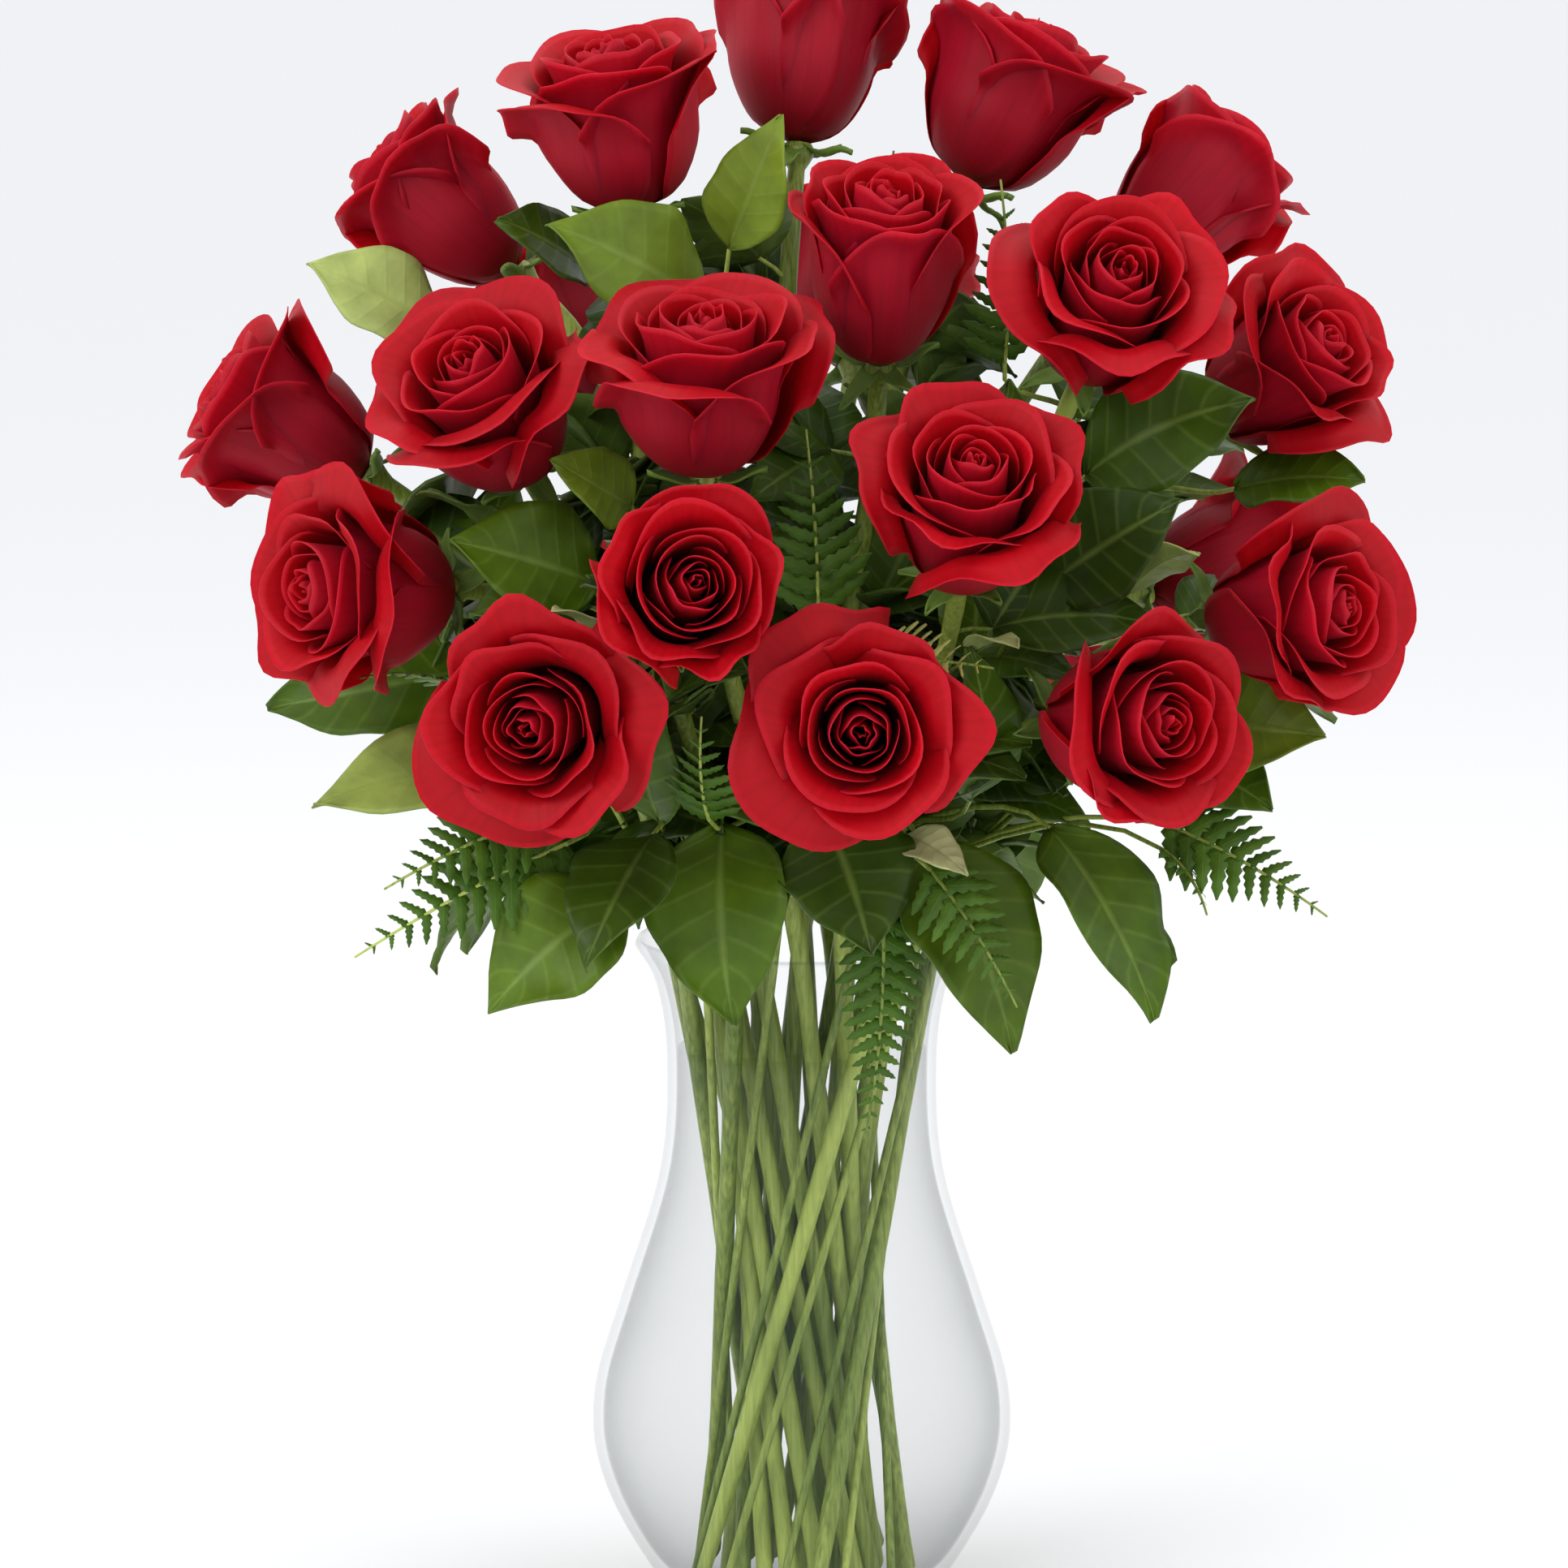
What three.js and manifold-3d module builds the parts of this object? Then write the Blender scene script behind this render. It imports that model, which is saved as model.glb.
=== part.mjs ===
// Two dozen long-stemmed red roses with lemon leaf and leather fern, standing in water in a clear
// pear-shaped vase. Millimetres, +Z up. The origin is the middle of the vase's flat underside.
// Bearings are degrees round the vase: 0 is the front (-Y), 90 the right side (+X).
// Lifts are degrees above level.
import * as THREE from "three";
import { mergeVertices } from "three/addons/utils/BufferGeometryUtils.js";
import Module from "manifold-3d";

const wasm = await Module();
wasm.setup();

// ---------------------------------------------------------------- driving dimensions

const TOUCH_GAP = 0.35; // between solids that touch on the real thing

const VASE_SIDES = 20;
const VASE_HEIGHT = 232;
const VASE_FLOOR = 11; // thick glass base
// Half profiles, [radius, height]: the outside from foot to lip, the inside from lip to floor.
const VASE_OUTSIDE = [
  [0, 0],
  [38, 0],
  [43, 4],
  [54.5, 21],
  [64, 38],
  [69.6, 54],
  [71, 68],
  [69, 84],
  [61.5, 108],
  [48, 152],
  [45.5, 190],
  [49, 216],
  [56.5, 230],
];
const VASE_LIP = [55.5, VASE_HEIGHT];
const VASE_INSIDE = [
  [53, 229],
  [46, 215],
  [42.4, 190],
  [44.8, 152],
  [58, 108],
  [65.4, 84],
  [67.5, 68],
  [66, 54],
  [60.3, 38],
  [50.5, 21],
  [40, VASE_FLOOR],
  [0, VASE_FLOOR],
];

const WATER_LEVEL = 194;
const STEM_FOOT = VASE_FLOOR + 3; // the cut ends stand clear of the glass floor, over water
const STEM_EXIT = 222; // height where a stem leaves the twisted bundle, at the lip
const BUNDLE_TWIST = 96; // degrees that each ring of stems turns between foot and exit
const STEM_SIDES = 5;
const ROSE_STEM_RADIUS = 3;
const GREEN_STEM_RADIUS = 1.5;
const GREEN_STEM_TAPER = 0.4; // how much thinner it is at its tip

// The bundle is three nested rings of straight stems: radius at the foot and at the exit.
// way: which way round it turns. The middle ring's stems cross those of the other two.
// lead: degrees by which a flower head runs on round the vase past the exit of its stem.
const RINGS = {
  outer: { foot: 37.5, exit: 43.8, way: 1, lead: 20.5 },
  middle: { foot: 25, exit: 31, way: -1, lead: 27 },
  inner: { foot: 12.5, exit: 15.5, way: 1, lead: 18 },
};

// at: middle of the flower head. faces: its [bearing, lift]. across: width over the outer petals.
// open: 0 is a bud, 1 fully blown. crosses: an outer head whose stem runs in the middle ring.
const ROSES = [
  { at: [2, 25, 528], faces: [160, 74], across: 76, open: 0.3, ring: "inner" },
  { at: [-60, -30, 506], faces: [-35, 74], across: 80, open: 0.7, ring: "inner" },
  { at: [69, 15, 511], faces: [88, 64], across: 82, open: 0.6, ring: "inner" },
  { at: [-120, 20, 476], faces: [-92, 42], across: 68, open: 0.4, ring: "middle" },
  { at: [132, 55, 478], faces: [102, 46], across: 68, open: 0.4, ring: "middle" },
  { at: [26, -70, 460], faces: [4, 64], across: 60, open: 0.1, ring: "inner" },
  { at: [97, -90, 448], faces: [14, 38], across: 80, open: 0.8, ring: "middle" },
  { at: [157, -35, 424], faces: [46, 30], across: 74, open: 0.7, ring: "middle" },
  { at: [-99, -90, 417], faces: [-30, 44], across: 84, open: 0.8, ring: "middle" },
  { at: [-31, -114, 425], faces: [0, 68], across: 88, open: 0.8, ring: "middle" },
  { at: [-172, 5, 404], faces: [-84, 32], across: 76, open: 0.6, ring: "outer" },
  { at: [52, -132, 388], faces: [5, 44], across: 78, open: 0.7, ring: "middle" },
  { at: [-140, -85, 358], faces: [-52, 4], across: 80, open: 0.7, ring: "outer", crosses: true },
  { at: [-37, -157, 364], faces: [10, 14], across: 63, open: 0.3, ring: "outer" },
  { at: [-81, -137, 322], faces: [-14, 0], across: 83, open: 0.9, ring: "outer" },
  { at: [18, -152, 321], faces: [0, 4], across: 87, open: 1, ring: "outer", crosses: true },
  { at: [102, -127, 320], faces: [32, 6], across: 71, open: 0.5, ring: "outer" },
  { at: [157, -82, 350], faces: [45, 8], across: 80, open: 0.8, ring: "outer", crosses: true },
  { at: [146, 60, 350], faces: [112, 12], across: 76, open: 0.7, ring: "outer" },
  { at: [76, 142, 322], faces: [152, 6], across: 80, open: 0.8, ring: "outer", crosses: true },
  { at: [-46, 155, 330], faces: [197, 12], across: 78, open: 0.6, ring: "outer" },
  { at: [-140, 74, 338], faces: [242, 8], across: 80, open: 0.8, ring: "outer", crosses: true },
  { at: [22, 108, 442], faces: [170, 46], across: 80, open: 0.6, ring: "middle" },
  { at: [-76, 84, 430], faces: [222, 42], across: 76, open: 0.5, ring: "middle" },
];
const HEAD_SPIN = 137.5; // degrees that each head is turned on its stem from the one before
const HIP_LENGTH = 9; // the swelling that the petals grow from
const HIP_RADIUS = 5.4; // at its widest, HIP_WIDEST below the petals
const HIP_TOP_RADIUS = 4.6;
const HIP_WIDEST = 4;
const SEPAL_REACH = 20; // from the middle of the flower's base to a sepal's tip
const SEPAL_TIPS = [2, -9, 1, -12, -4]; // heights above that base: some cup the petals, some fold back

// Sprigs stand in the gaps of the outer ring, counted round from the back. Their stem ends at `top`,
// heading [bearing, lift]. Each blade runs from its base to its tip, on a stalk that leaves the stem
// `rise` below it, or STALK_RISE.
const LEMON_LEAF = [
  {
    gap: 2,
    top: [-104, -8, 402],
    heads: [-95, 50],
    leaves: [
      { from: [-121, -2, 436], to: [-163, -12, 459], width: 30 },
      { from: [-98, -54, 370], to: [-124, -68, 388], width: 26 },
      { from: [-110, -14, 324], to: [-178, -12, 310], width: 40 },
      { from: [-74, -20, 272], to: [-124, -36, 228], width: 46 },
      { from: [-72, 18, 270], to: [-116, 32, 222], width: 46 },
    ],
  },
  {
    gap: 4,
    top: [-62, -90, 348],
    heads: [-30, 45],
    leaves: [
      { from: [-85, -70, 293], to: [-157, -96, 291], width: 40 },
      { from: [-58, -100, 262], to: [-101, -112, 225], width: 42 },
      { from: [-48, -96, 280], to: [-69, -130, 242], width: 36 },
      { from: [-26, -92, 283], to: [-22, -114, 221], width: 48 },
      { from: [-46, -84, 282], to: [-48, -104, 334], width: 30 },
      { from: [-66, -86, 360], to: [-112, -106, 376], width: 36 },
      { from: [-55, -88, 385], to: [-80, -110, 402], width: 24 },
      { from: [-68, -84, 352], to: [-107, -94, 350], width: 30 },
      { from: [-62, -96, 342], to: [-80, -122, 354], width: 16 },
    ],
  },
  {
    gap: 6,
    top: [70, -84, 348],
    heads: [40, 50],
    leaves: [
      { from: [8, -94, 283], to: [22, -126, 245], width: 44 },
      { from: [38, -92, 277], to: [68, -112, 212], width: 44 },
      { from: [80, -82, 280], to: [114, -106, 222], width: 46 },
      { from: [33, -100, 280], to: [52, -128, 272], width: 16 },
      { from: [54, -102, 340], to: [68, -128, 344], width: 16 },
      { from: [80, -78, 359], to: [121, -100, 388], width: 36 },
      { from: [104, -84, 357], to: [126, -112, 373], width: 18, rise: 5 },
      { from: [54, -88, 290], to: [54, -110, 342], width: 28 },
      { from: [58, -62, 376], to: [66, -84, 426], width: 34 },
    ],
  },
  {
    gap: 8,
    top: [114, -18, 384],
    heads: [80, 50],
    leaves: [
      { from: [130, -58, 314], to: [168, -82, 311], width: 38, rise: 95 },
      { from: [122, -54, 298], to: [152, -80, 286], width: 30, rise: 85 },
      { from: [142, -36, 386], to: [183, -56, 390], width: 34 },
      { from: [92, -56, 392], to: [146, -74, 418], width: 38 },
      { from: [112, 12, 330], to: [180, 16, 302], width: 44 },
      { from: [78, -14, 270], to: [124, -22, 226], width: 46 },
      { from: [118, 8, 420], to: [166, 4, 450], width: 36 },
    ],
  },
  {
    gap: 9,
    top: [78, 66, 372],
    heads: [140, 45],
    leaves: [
      { from: [72, 26, 270], to: [112, 46, 222], width: 46 },
      { from: [48, 62, 270], to: [78, 98, 224], width: 46 },
      { from: [105, 92, 330], to: [150, 122, 318], width: 40 },
      { from: [62, 98, 376], to: [98, 132, 396], width: 40 },
      { from: [92, 58, 402], to: [132, 82, 428], width: 36 },
    ],
  },
  {
    gap: 0,
    top: [-34, 4, 428],
    heads: [-60, 75],
    leaves: [
      { from: [-22, 76, 270], to: [-34, 120, 224], width: 46 },
      { from: [-56, 56, 268], to: [-90, 86, 222], width: 46 },
      { from: [-85, 104, 335], to: [-112, 146, 340], width: 38 },
      { from: [-32, -48, 446], to: [-82, -70, 474], width: 38 },
      { from: [-70, -12, 455], to: [-100, -34, 474], width: 28 },
      { from: [-24, -26, 464], to: [-8, -38, 508], width: 24 },
      { from: [-30, 78, 380], to: [-42, 114, 392], width: 38 },
    ],
  },
];
// The side fronds of each fern. leaflet: length of the longest leaflets. pairs: how many along the rib.
const LEATHER_FERN = [
  {
    gap: 3,
    top: [-92, -62, 322],
    heads: [-58, 40],
    fronds: [
      { from: [-76, -90, 276], to: [-143, -115, 243], leaflet: 14, pairs: 8 },
      { from: [-88, -96, 284], to: [-133, -122, 266], leaflet: 12, pairs: 6 },
      { from: [-104, -66, 320], to: [-142, -92, 330], leaflet: 9, pairs: 5 },
    ],
  },
  {
    gap: 5,
    top: [0, -84, 372],
    heads: [0, 60],
    fronds: [
      { from: [26, -84, 252], to: [20, -78, 176], leaflet: 11, pairs: 9 },
      { from: [40, -116, 272], to: [68, -128, 229], leaflet: 11, pairs: 6 },
      { from: [-30, -104, 286], to: [-32, -128, 322], leaflet: 10, pairs: 5 },
      { from: [22, -90, 333], to: [60, -134, 338], leaflet: 11, pairs: 6 },
      { from: [5, -84, 350], to: [1, -92, 410], leaflet: 13, pairs: 7 },
    ],
  },
  {
    gap: 7,
    top: [92, -14, 408],
    heads: [75, 60],
    fronds: [
      { from: [118, -74, 280], to: [169, -95, 253], leaflet: 13, pairs: 7 },
      { from: [116, -80, 273], to: [130, -98, 254], leaflet: 7, pairs: 4 },
      { from: [66, -42, 428], to: [64, -56, 488], leaflet: 11, pairs: 7 },
    ],
  },
  {
    gap: 10,
    top: [26, 22, 440],
    heads: [180, 75],
    fronds: [
      { from: [24, 2, 452], to: [30, -22, 496], leaflet: 10, pairs: 6 },
      { from: [5, 100, 290], to: [8, 172, 262], leaflet: 13, pairs: 8 },
      { from: [40, 82, 280], to: [84, 140, 258], leaflet: 12, pairs: 7 },
    ],
  },
];
const CROWN = [0, 0, 290]; // the blades turn their upper faces away from here
const UPTURN = 0.3; // and somewhat to the sky
const BLADE_WALL = 0.8;
const STALK_WIDTH = 1.8;
const STALK_RISE = 25;
const SPRIG_STEPS = 5;
const ROSE_STEPS = 4;
// Along a lemon leaf and half across it there, as shares of its length and of its half width.
const LEAF_ROWS = [
  [0.14, 0.66],
  [0.42, 1],
  [0.76, 0.62],
];
const BLADE_BOW = 0.09; // rise of a blade's middle off the line from base to tip, by length
const LEAF_FOLD = 0.2; // rise of the edges above the rib, by half width
const LEAF_WAVE = 0.05; // and how much more or less than that in turn
const LEAFLET_SLANT = 0.4; // how far a leaflet leans to the frond's tip, by its length
const LEAFLET_DROOP = 0.12; // how far its tip hangs, by its length

// Colours of the real surfaces.
const material = (color, roughness, extra = {}) =>
  new THREE.MeshStandardMaterial({ color, roughness, metalness: 0, ...extra });
const GLASS = material("#eef4f2", 0.05, { transparent: true, opacity: 0.35 });
const WATER = material("#e3efe9", 0.05, { transparent: true, opacity: 0.3 });
const PETAL = material("#b3051c", 0.55);
const STEM = material("#5f7d2a", 0.5);
const LEAF = material("#3d5a1c", 0.42);
const FERN = material("#3a6420", 0.5);

// ---------------------------------------------------------------- directions and solids

const rad = THREE.MathUtils.degToRad;
const deg = THREE.MathUtils.radToDeg;
const vec = (x, y, z) => new THREE.Vector3(x, y, z);

// Unit vector for a bearing and a lift.
const toward = (bearing, lift) =>
  vec(
    Math.sin(rad(bearing)) * Math.cos(rad(lift)),
    -Math.cos(rad(bearing)) * Math.cos(rad(lift)),
    Math.sin(rad(lift)),
  );

const bearingOf = (p) => deg(Math.atan2(p.x, -p.y));

// A closed three.js geometry as a solid.
function solidOf(geometry) {
  const bare = geometry.clone();
  bare.deleteAttribute("normal");
  bare.deleteAttribute("uv");
  const merged = mergeVertices(bare, 1e-3);
  return new wasm.Manifold(
    new wasm.Mesh({
      numProp: 3,
      vertProperties: merged.attributes.position.array,
      triVerts: new Uint32Array(merged.index.array),
    }),
  );
}

// A solid from points and triangles, turned outwards if it was wound inwards.
function solidFrom(points, triangles) {
  const geometry = new THREE.BufferGeometry().setFromPoints(points);
  geometry.setIndex(triangles.flat());
  const solid = solidOf(geometry);
  if (solid.volume() > 0) return solid;
  geometry.setIndex(triangles.flatMap(([a, b, c]) => [a, c, b]));
  return solidOf(geometry);
}

function meshOf(name, solid, look) {
  const { numProp, vertProperties, triVerts } = solid.getMesh();
  const position = new Float32Array((vertProperties.length / numProp) * 3);
  for (let i = 0; i < position.length / 3; i++)
    position.set(vertProperties.subarray(i * numProp, i * numProp + 3), i * 3);
  const geometry = new THREE.BufferGeometry()
    .setAttribute("position", new THREE.BufferAttribute(position, 3))
    .setIndex(new THREE.BufferAttribute(triVerts, 1));
  geometry.computeVertexNormals();
  const mesh = new THREE.Mesh(geometry, look);
  mesh.name = name;
  return mesh;
}

// A thin blade: one sheet of triangles given an equal wall on both faces. loop is its edge, in order.
function plate(points, triangles, loop, thickness) {
  const normals = points.map(() => vec(0, 0, 0));
  for (const t of triangles) {
    const [a, b, c] = t.map((i) => points[i]);
    const face = b.clone().sub(a).cross(c.clone().sub(a));
    t.forEach((i) => normals[i].add(face));
  }
  const n = points.length;
  const side = (sign) =>
    points.map((p, i) =>
      p.clone().addScaledVector(normals[i].clone().normalize(), (sign * thickness) / 2),
    );
  const rim = loop.flatMap((a, i) => {
    const b = loop[(i + 1) % loop.length];
    return [
      [b, a, a + n],
      [b, a + n, b + n],
    ];
  });
  const under = triangles.map(([a, b, c]) => [a + n, c + n, b + n]);
  return solidFrom([...side(1), ...side(-1)], [...triangles, ...under, ...rim]);
}

// ---------------------------------------------------------------- stems

// A closed limb: rings of corners round a line of points, each ring square to the line and with its
// own radius. Each of the points in `spikes` is drawn out of one side of the last stretch.
function limb(points, radii, spikes = []) {
  const last = points.length - 1;
  const corners = [];
  let across = vec(1, 0.3, 0);
  points.forEach((point, i) => {
    const along = points[Math.max(i, 1)].clone().sub(points[Math.max(i, 1) - 1]).normalize();
    across = across.clone().addScaledVector(along, -across.dot(along)).normalize();
    const other = along.clone().cross(across);
    for (let k = 0; k < STEM_SIDES; k++) {
      const turn = (2 * Math.PI * k) / STEM_SIDES;
      const corner = point.clone().addScaledVector(across, radii[i] * Math.cos(turn));
      corners.push(corner.addScaledVector(other, radii[i] * Math.sin(turn)));
    }
  });
  const triangles = [];
  for (let i = 0; i < last; i++)
    for (let k = 0; k < STEM_SIDES; k++) {
      const [a, b] = [i * STEM_SIDES + k, i * STEM_SIDES + ((k + 1) % STEM_SIDES)];
      const [c, d] = [b + STEM_SIDES, a + STEM_SIDES];
      if (i === last - 1 && spikes.length > k) {
        const middle = corners[a].clone().lerp(corners[c], 0.5);
        const tip = corners.push(spikes[k](middle.sub(points[last]))) - 1;
        triangles.push([a, b, tip], [b, c, tip], [c, d, tip], [d, a, tip]);
      } else triangles.push([a, b, c], [a, c, d]);
    }
  const top = last * STEM_SIDES;
  for (let k = 1; k < STEM_SIDES - 1; k++) triangles.push([0, k + 1, k], [top, top + k, top + k + 1]);
  return solidFrom(corners, triangles);
}

// Points of a smooth sweep that leaves `from` along `start` and arrives at `to` along `end`,
// without `from` itself.
function sweep(from, start, to, end, steps) {
  const reach = from.distanceTo(to);
  return Array.from({ length: steps }, (_, i) => {
    const u = (i + 1) / steps;
    const [u2, u3] = [u * u, u * u * u];
    return vec(0, 0, 0)
      .addScaledVector(from, 2 * u3 - 3 * u2 + 1)
      .addScaledVector(start, (u3 - 2 * u2 + u) * reach)
      .addScaledVector(to, 3 * u2 - 2 * u3)
      .addScaledVector(end, (u3 - u2) * reach);
  });
}

// The straight run of a stem in the twisted bundle, from the vase floor to the lip.
function bundleRun(ring, bearing, radius) {
  const { foot, exit, way } = RINGS[ring];
  const start = toward(bearing - way * BUNDLE_TWIST, 0).multiplyScalar(foot).setZ(STEM_FOOT);
  const end = toward(bearing, 0).multiplyScalar(exit).setZ(STEM_EXIT);
  return { start, end, rise: end.clone().sub(start).normalize(), radius };
}

// A plain hole a little wider than a stem, from just under its foot up past the water's surface.
function stemHole({ start, rise, radius }) {
  const wide = (radius + TOUCH_GAP) / Math.cos(Math.PI / STEM_SIDES);
  const at = (z) => start.clone().addScaledVector(rise, (z - start.z) / rise.z);
  return limb([at(STEM_FOOT - TOUCH_GAP), at(WATER_LEVEL + 10)], [wide, wide]);
}

// The ring that a rose's stem runs in.
const stemRing = (rose) => (rose.crosses ? "middle" : rose.ring);

// Bearings at the lip for the roses of one ring: evenly spaced, in the order of their flower heads.
// A rose that crosses leaves its place in the outer ring free and has another in the middle ring.
function spreadRing(ring) {
  const members = ROSES.map((rose, index) => ({ index, bearing: bearingOf(vec(...rose.at)) }))
    .filter(({ index }) => ROSES[index].ring === ring || stemRing(ROSES[index]) === ring)
    .sort((a, b) => a.bearing - b.bearing);
  const pitch = 360 / members.length;
  const start = members.reduce((sum, m, i) => sum + m.bearing - i * pitch, 0) / members.length;
  const first = start - RINGS[ring].way * RINGS[ring].lead;
  const bearings = new Map();
  members.forEach((m, i) => bearings.set(m.index, first + i * pitch));
  return { bearings, first, pitch };
}

// ---------------------------------------------------------------- rose heads

const HEAD_COLUMNS = 12;
const EDGE_TUCK = 0.11; // how far a petal's near edge is tucked in under its neighbour, by radius
const EDGE_DIP = 0.14; // how far a petal's ends dip below its middle, by height
const BUD_DEPTH = 0.9; // height of the middle of the bud, by height of the head
// The folded profile of a bloom, from its base out over three layers of petals into the bud.
// r: share of the layer's radius, which is the body's, or the full width over the petals' lips.
// z: share of the height. lobe: how much the petal edges shape the row. dip: whether they dip there.
// petals and shift: how many petals the layer has and by how many columns it is turned.
const OUTER = { petals: 4, shift: 0 };
const INNER = { petals: 4, shift: 2 };
const HEART = { petals: 3, shift: 1 };
const BUD = { petals: 2, shift: 0 };
const HEAD_ROWS = [
  { r: 0.15, z: 0, lobe: 0, ...OUTER },
  { r: 0.55, z: 0.12, lobe: 0, ...OUTER },
  { r: 0.8, z: 0.42, lobe: 0.4, ...OUTER },
  { r: 0.88, z: 0.72, lobe: 0.7, dip: true, ...OUTER },
  { r: 1, z: 0.9, lobe: 1, dip: true, lip: true, ...OUTER },
  { r: 0.74, z: 0.72, lobe: 0, ...OUTER },
  { r: 0.78, z: 0.97, lobe: 1, dip: true, ...INNER },
  { r: 0.53, z: 0.76, lobe: 0, ...INNER },
  { r: 0.5, z: 1, lobe: 1, dip: true, ...HEART },
  { r: 0.29, z: 0.82, lobe: 0, ...HEART },
  { r: 0.21, z: 0.98, lobe: 1, dip: true, ...BUD },
];

// A blown flower is lower, and flares more from a narrower body.
const headHeight = ({ open }) => 68 - 12 * open;
const bodyRadius = ({ across, open }) => (across / 2) * (0.98 - 0.12 * open);

// A bloom as one closed surface folded into petal layers round a spiral bud. Its base is at the
// origin, and it opens along +Z.
function headSolid(rose) {
  const height = headHeight(rose);
  const points = [vec(0, 0, 0)];
  for (const row of HEAD_ROWS) {
    const width = HEAD_COLUMNS / row.petals;
    const radius = row.r * (row.lip ? rose.across / 2 : bodyRadius(rose));
    for (let column = 0; column < HEAD_COLUMNS; column++) {
      // A petal's edge runs from under its neighbour, low and tucked in, to its own outer end.
      const share = ((column + row.shift) % width) / (width - 1);
      const r = radius * (1 - EDGE_TUCK * (1 - share) * row.lobe);
      const dip = row.dip ? EDGE_DIP * (1 - Math.sin(Math.PI * share)) * row.lobe : 0;
      const turn = (2 * Math.PI * column) / HEAD_COLUMNS;
      points.push(vec(r * Math.cos(turn), r * Math.sin(turn), height * row.z * (1 - dip)));
    }
  }
  const top = points.push(vec(0, 0, height * BUD_DEPTH)) - 1;
  const at = (row, column) => 1 + row * HEAD_COLUMNS + (column % HEAD_COLUMNS);
  const rim = HEAD_ROWS.length - 1;
  const triangles = [];
  for (let c = 0; c < HEAD_COLUMNS; c++) {
    triangles.push([0, at(0, c + 1), at(0, c)], [at(rim, c), at(rim, c + 1), top]);
    for (let row = 0; row < rim; row++) {
      triangles.push([at(row, c), at(row, c + 1), at(row + 1, c + 1)]);
      triangles.push([at(row, c), at(row + 1, c + 1), at(row + 1, c)]);
    }
  }
  return solidFrom(points, triangles);
}

// Where a head sits: the middle of its base, its axis, and the matrix out of its own frame.
function headPlace(rose, index) {
  const axis = toward(...rose.faces);
  const base = vec(...rose.at).addScaledVector(axis, -headHeight(rose) / 2);
  const spin = new THREE.Matrix4().makeRotationZ(rad(index * HEAD_SPIN));
  const turn = new THREE.Matrix4().makeRotationFromQuaternion(
    new THREE.Quaternion().setFromUnitVectors(vec(0, 0, 1), axis),
  );
  const matrix = new THREE.Matrix4().makeTranslation(base).multiply(turn).multiply(spin);
  return { axis, base, matrix };
}

// ---------------------------------------------------------------- leaves and fronds

// The frame of a blade: the way its upper face looks, its length, and the point at a share of that
// length, set off sideways and up from the arched rib.
function bladeFrame({ from, to }) {
  const [base, tip] = [vec(...from), vec(...to)];
  const length = base.distanceTo(tip);
  const axis = tip.clone().sub(base).normalize();
  const face = base.clone().lerp(tip, 0.5).sub(vec(...CROWN)).normalize().add(vec(0, 0, UPTURN));
  face.addScaledVector(axis, -face.dot(axis)).normalize();
  const side = axis.clone().cross(face);
  const at = (share, sideways = 0, lift = 0) =>
    base
      .clone()
      .lerp(tip, share)
      .addScaledVector(face, BLADE_BOW * length * 4 * share * (1 - share) + lift)
      .addScaledVector(side, sideways);
  return { face, length, at };
}

// The stalk of a blade, a flat strip from `start` to the blade's base: its four corners, the last
// two at the base.
function stalk(frame, start) {
  const [left, right] = [frame.at(0, -STALK_WIDTH / 2), frame.at(0, STALK_WIDTH / 2)];
  const run = left.clone().lerp(right, 0.5).sub(start);
  const across = run.cross(frame.face).setLength(STALK_WIDTH / 2);
  if (across.dot(right.clone().sub(left)) < 0) across.negate();
  return [start.clone().sub(across), start.clone().add(across), left, right];
}
const STALK_TRIANGLES = [[0, 1, 3], [0, 3, 2]];

// A lemon leaf: broad and pointed, folded a little along its rib, with a waved edge.
function leafSolid(leaf, start) {
  const frame = bladeFrame(leaf);
  const half = leaf.width / 2;
  const points = stalk(frame, start);
  LEAF_ROWS.forEach(([share, wide], row) => {
    const wave = row % 2 ? -LEAF_WAVE : LEAF_WAVE;
    points.push(frame.at(share, -half * wide, half * wide * (LEAF_FOLD + wave)));
    points.push(frame.at(share));
    points.push(frame.at(share, half * wide, half * wide * (LEAF_FOLD - wave)));
  });
  const tip = points.push(frame.at(1)) - 1;
  const triangles = [...STALK_TRIANGLES, [2, 3, 5], [3, 6, 5], [2, 5, 4]];
  triangles.push([tip - 2, tip - 1, tip], [tip - 3, tip - 2, tip]);
  for (let left = 4; left < tip - 3; left += 3) {
    const [middle, right] = [left + 1, left + 2];
    triangles.push([middle, right, right + 3], [middle, right + 3, middle + 3]);
    triangles.push([left, middle, middle + 3], [left, middle + 3, left + 3]);
  }
  const rightEdge = LEAF_ROWS.map((_, row) => 6 + 3 * row);
  const leftEdge = LEAF_ROWS.map((_, row) => 4 + 3 * row).reverse();
  return plate(points, triangles, [0, 1, 3, ...rightEdge, tip, ...leftEdge, 2], BLADE_WALL);
}

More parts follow.
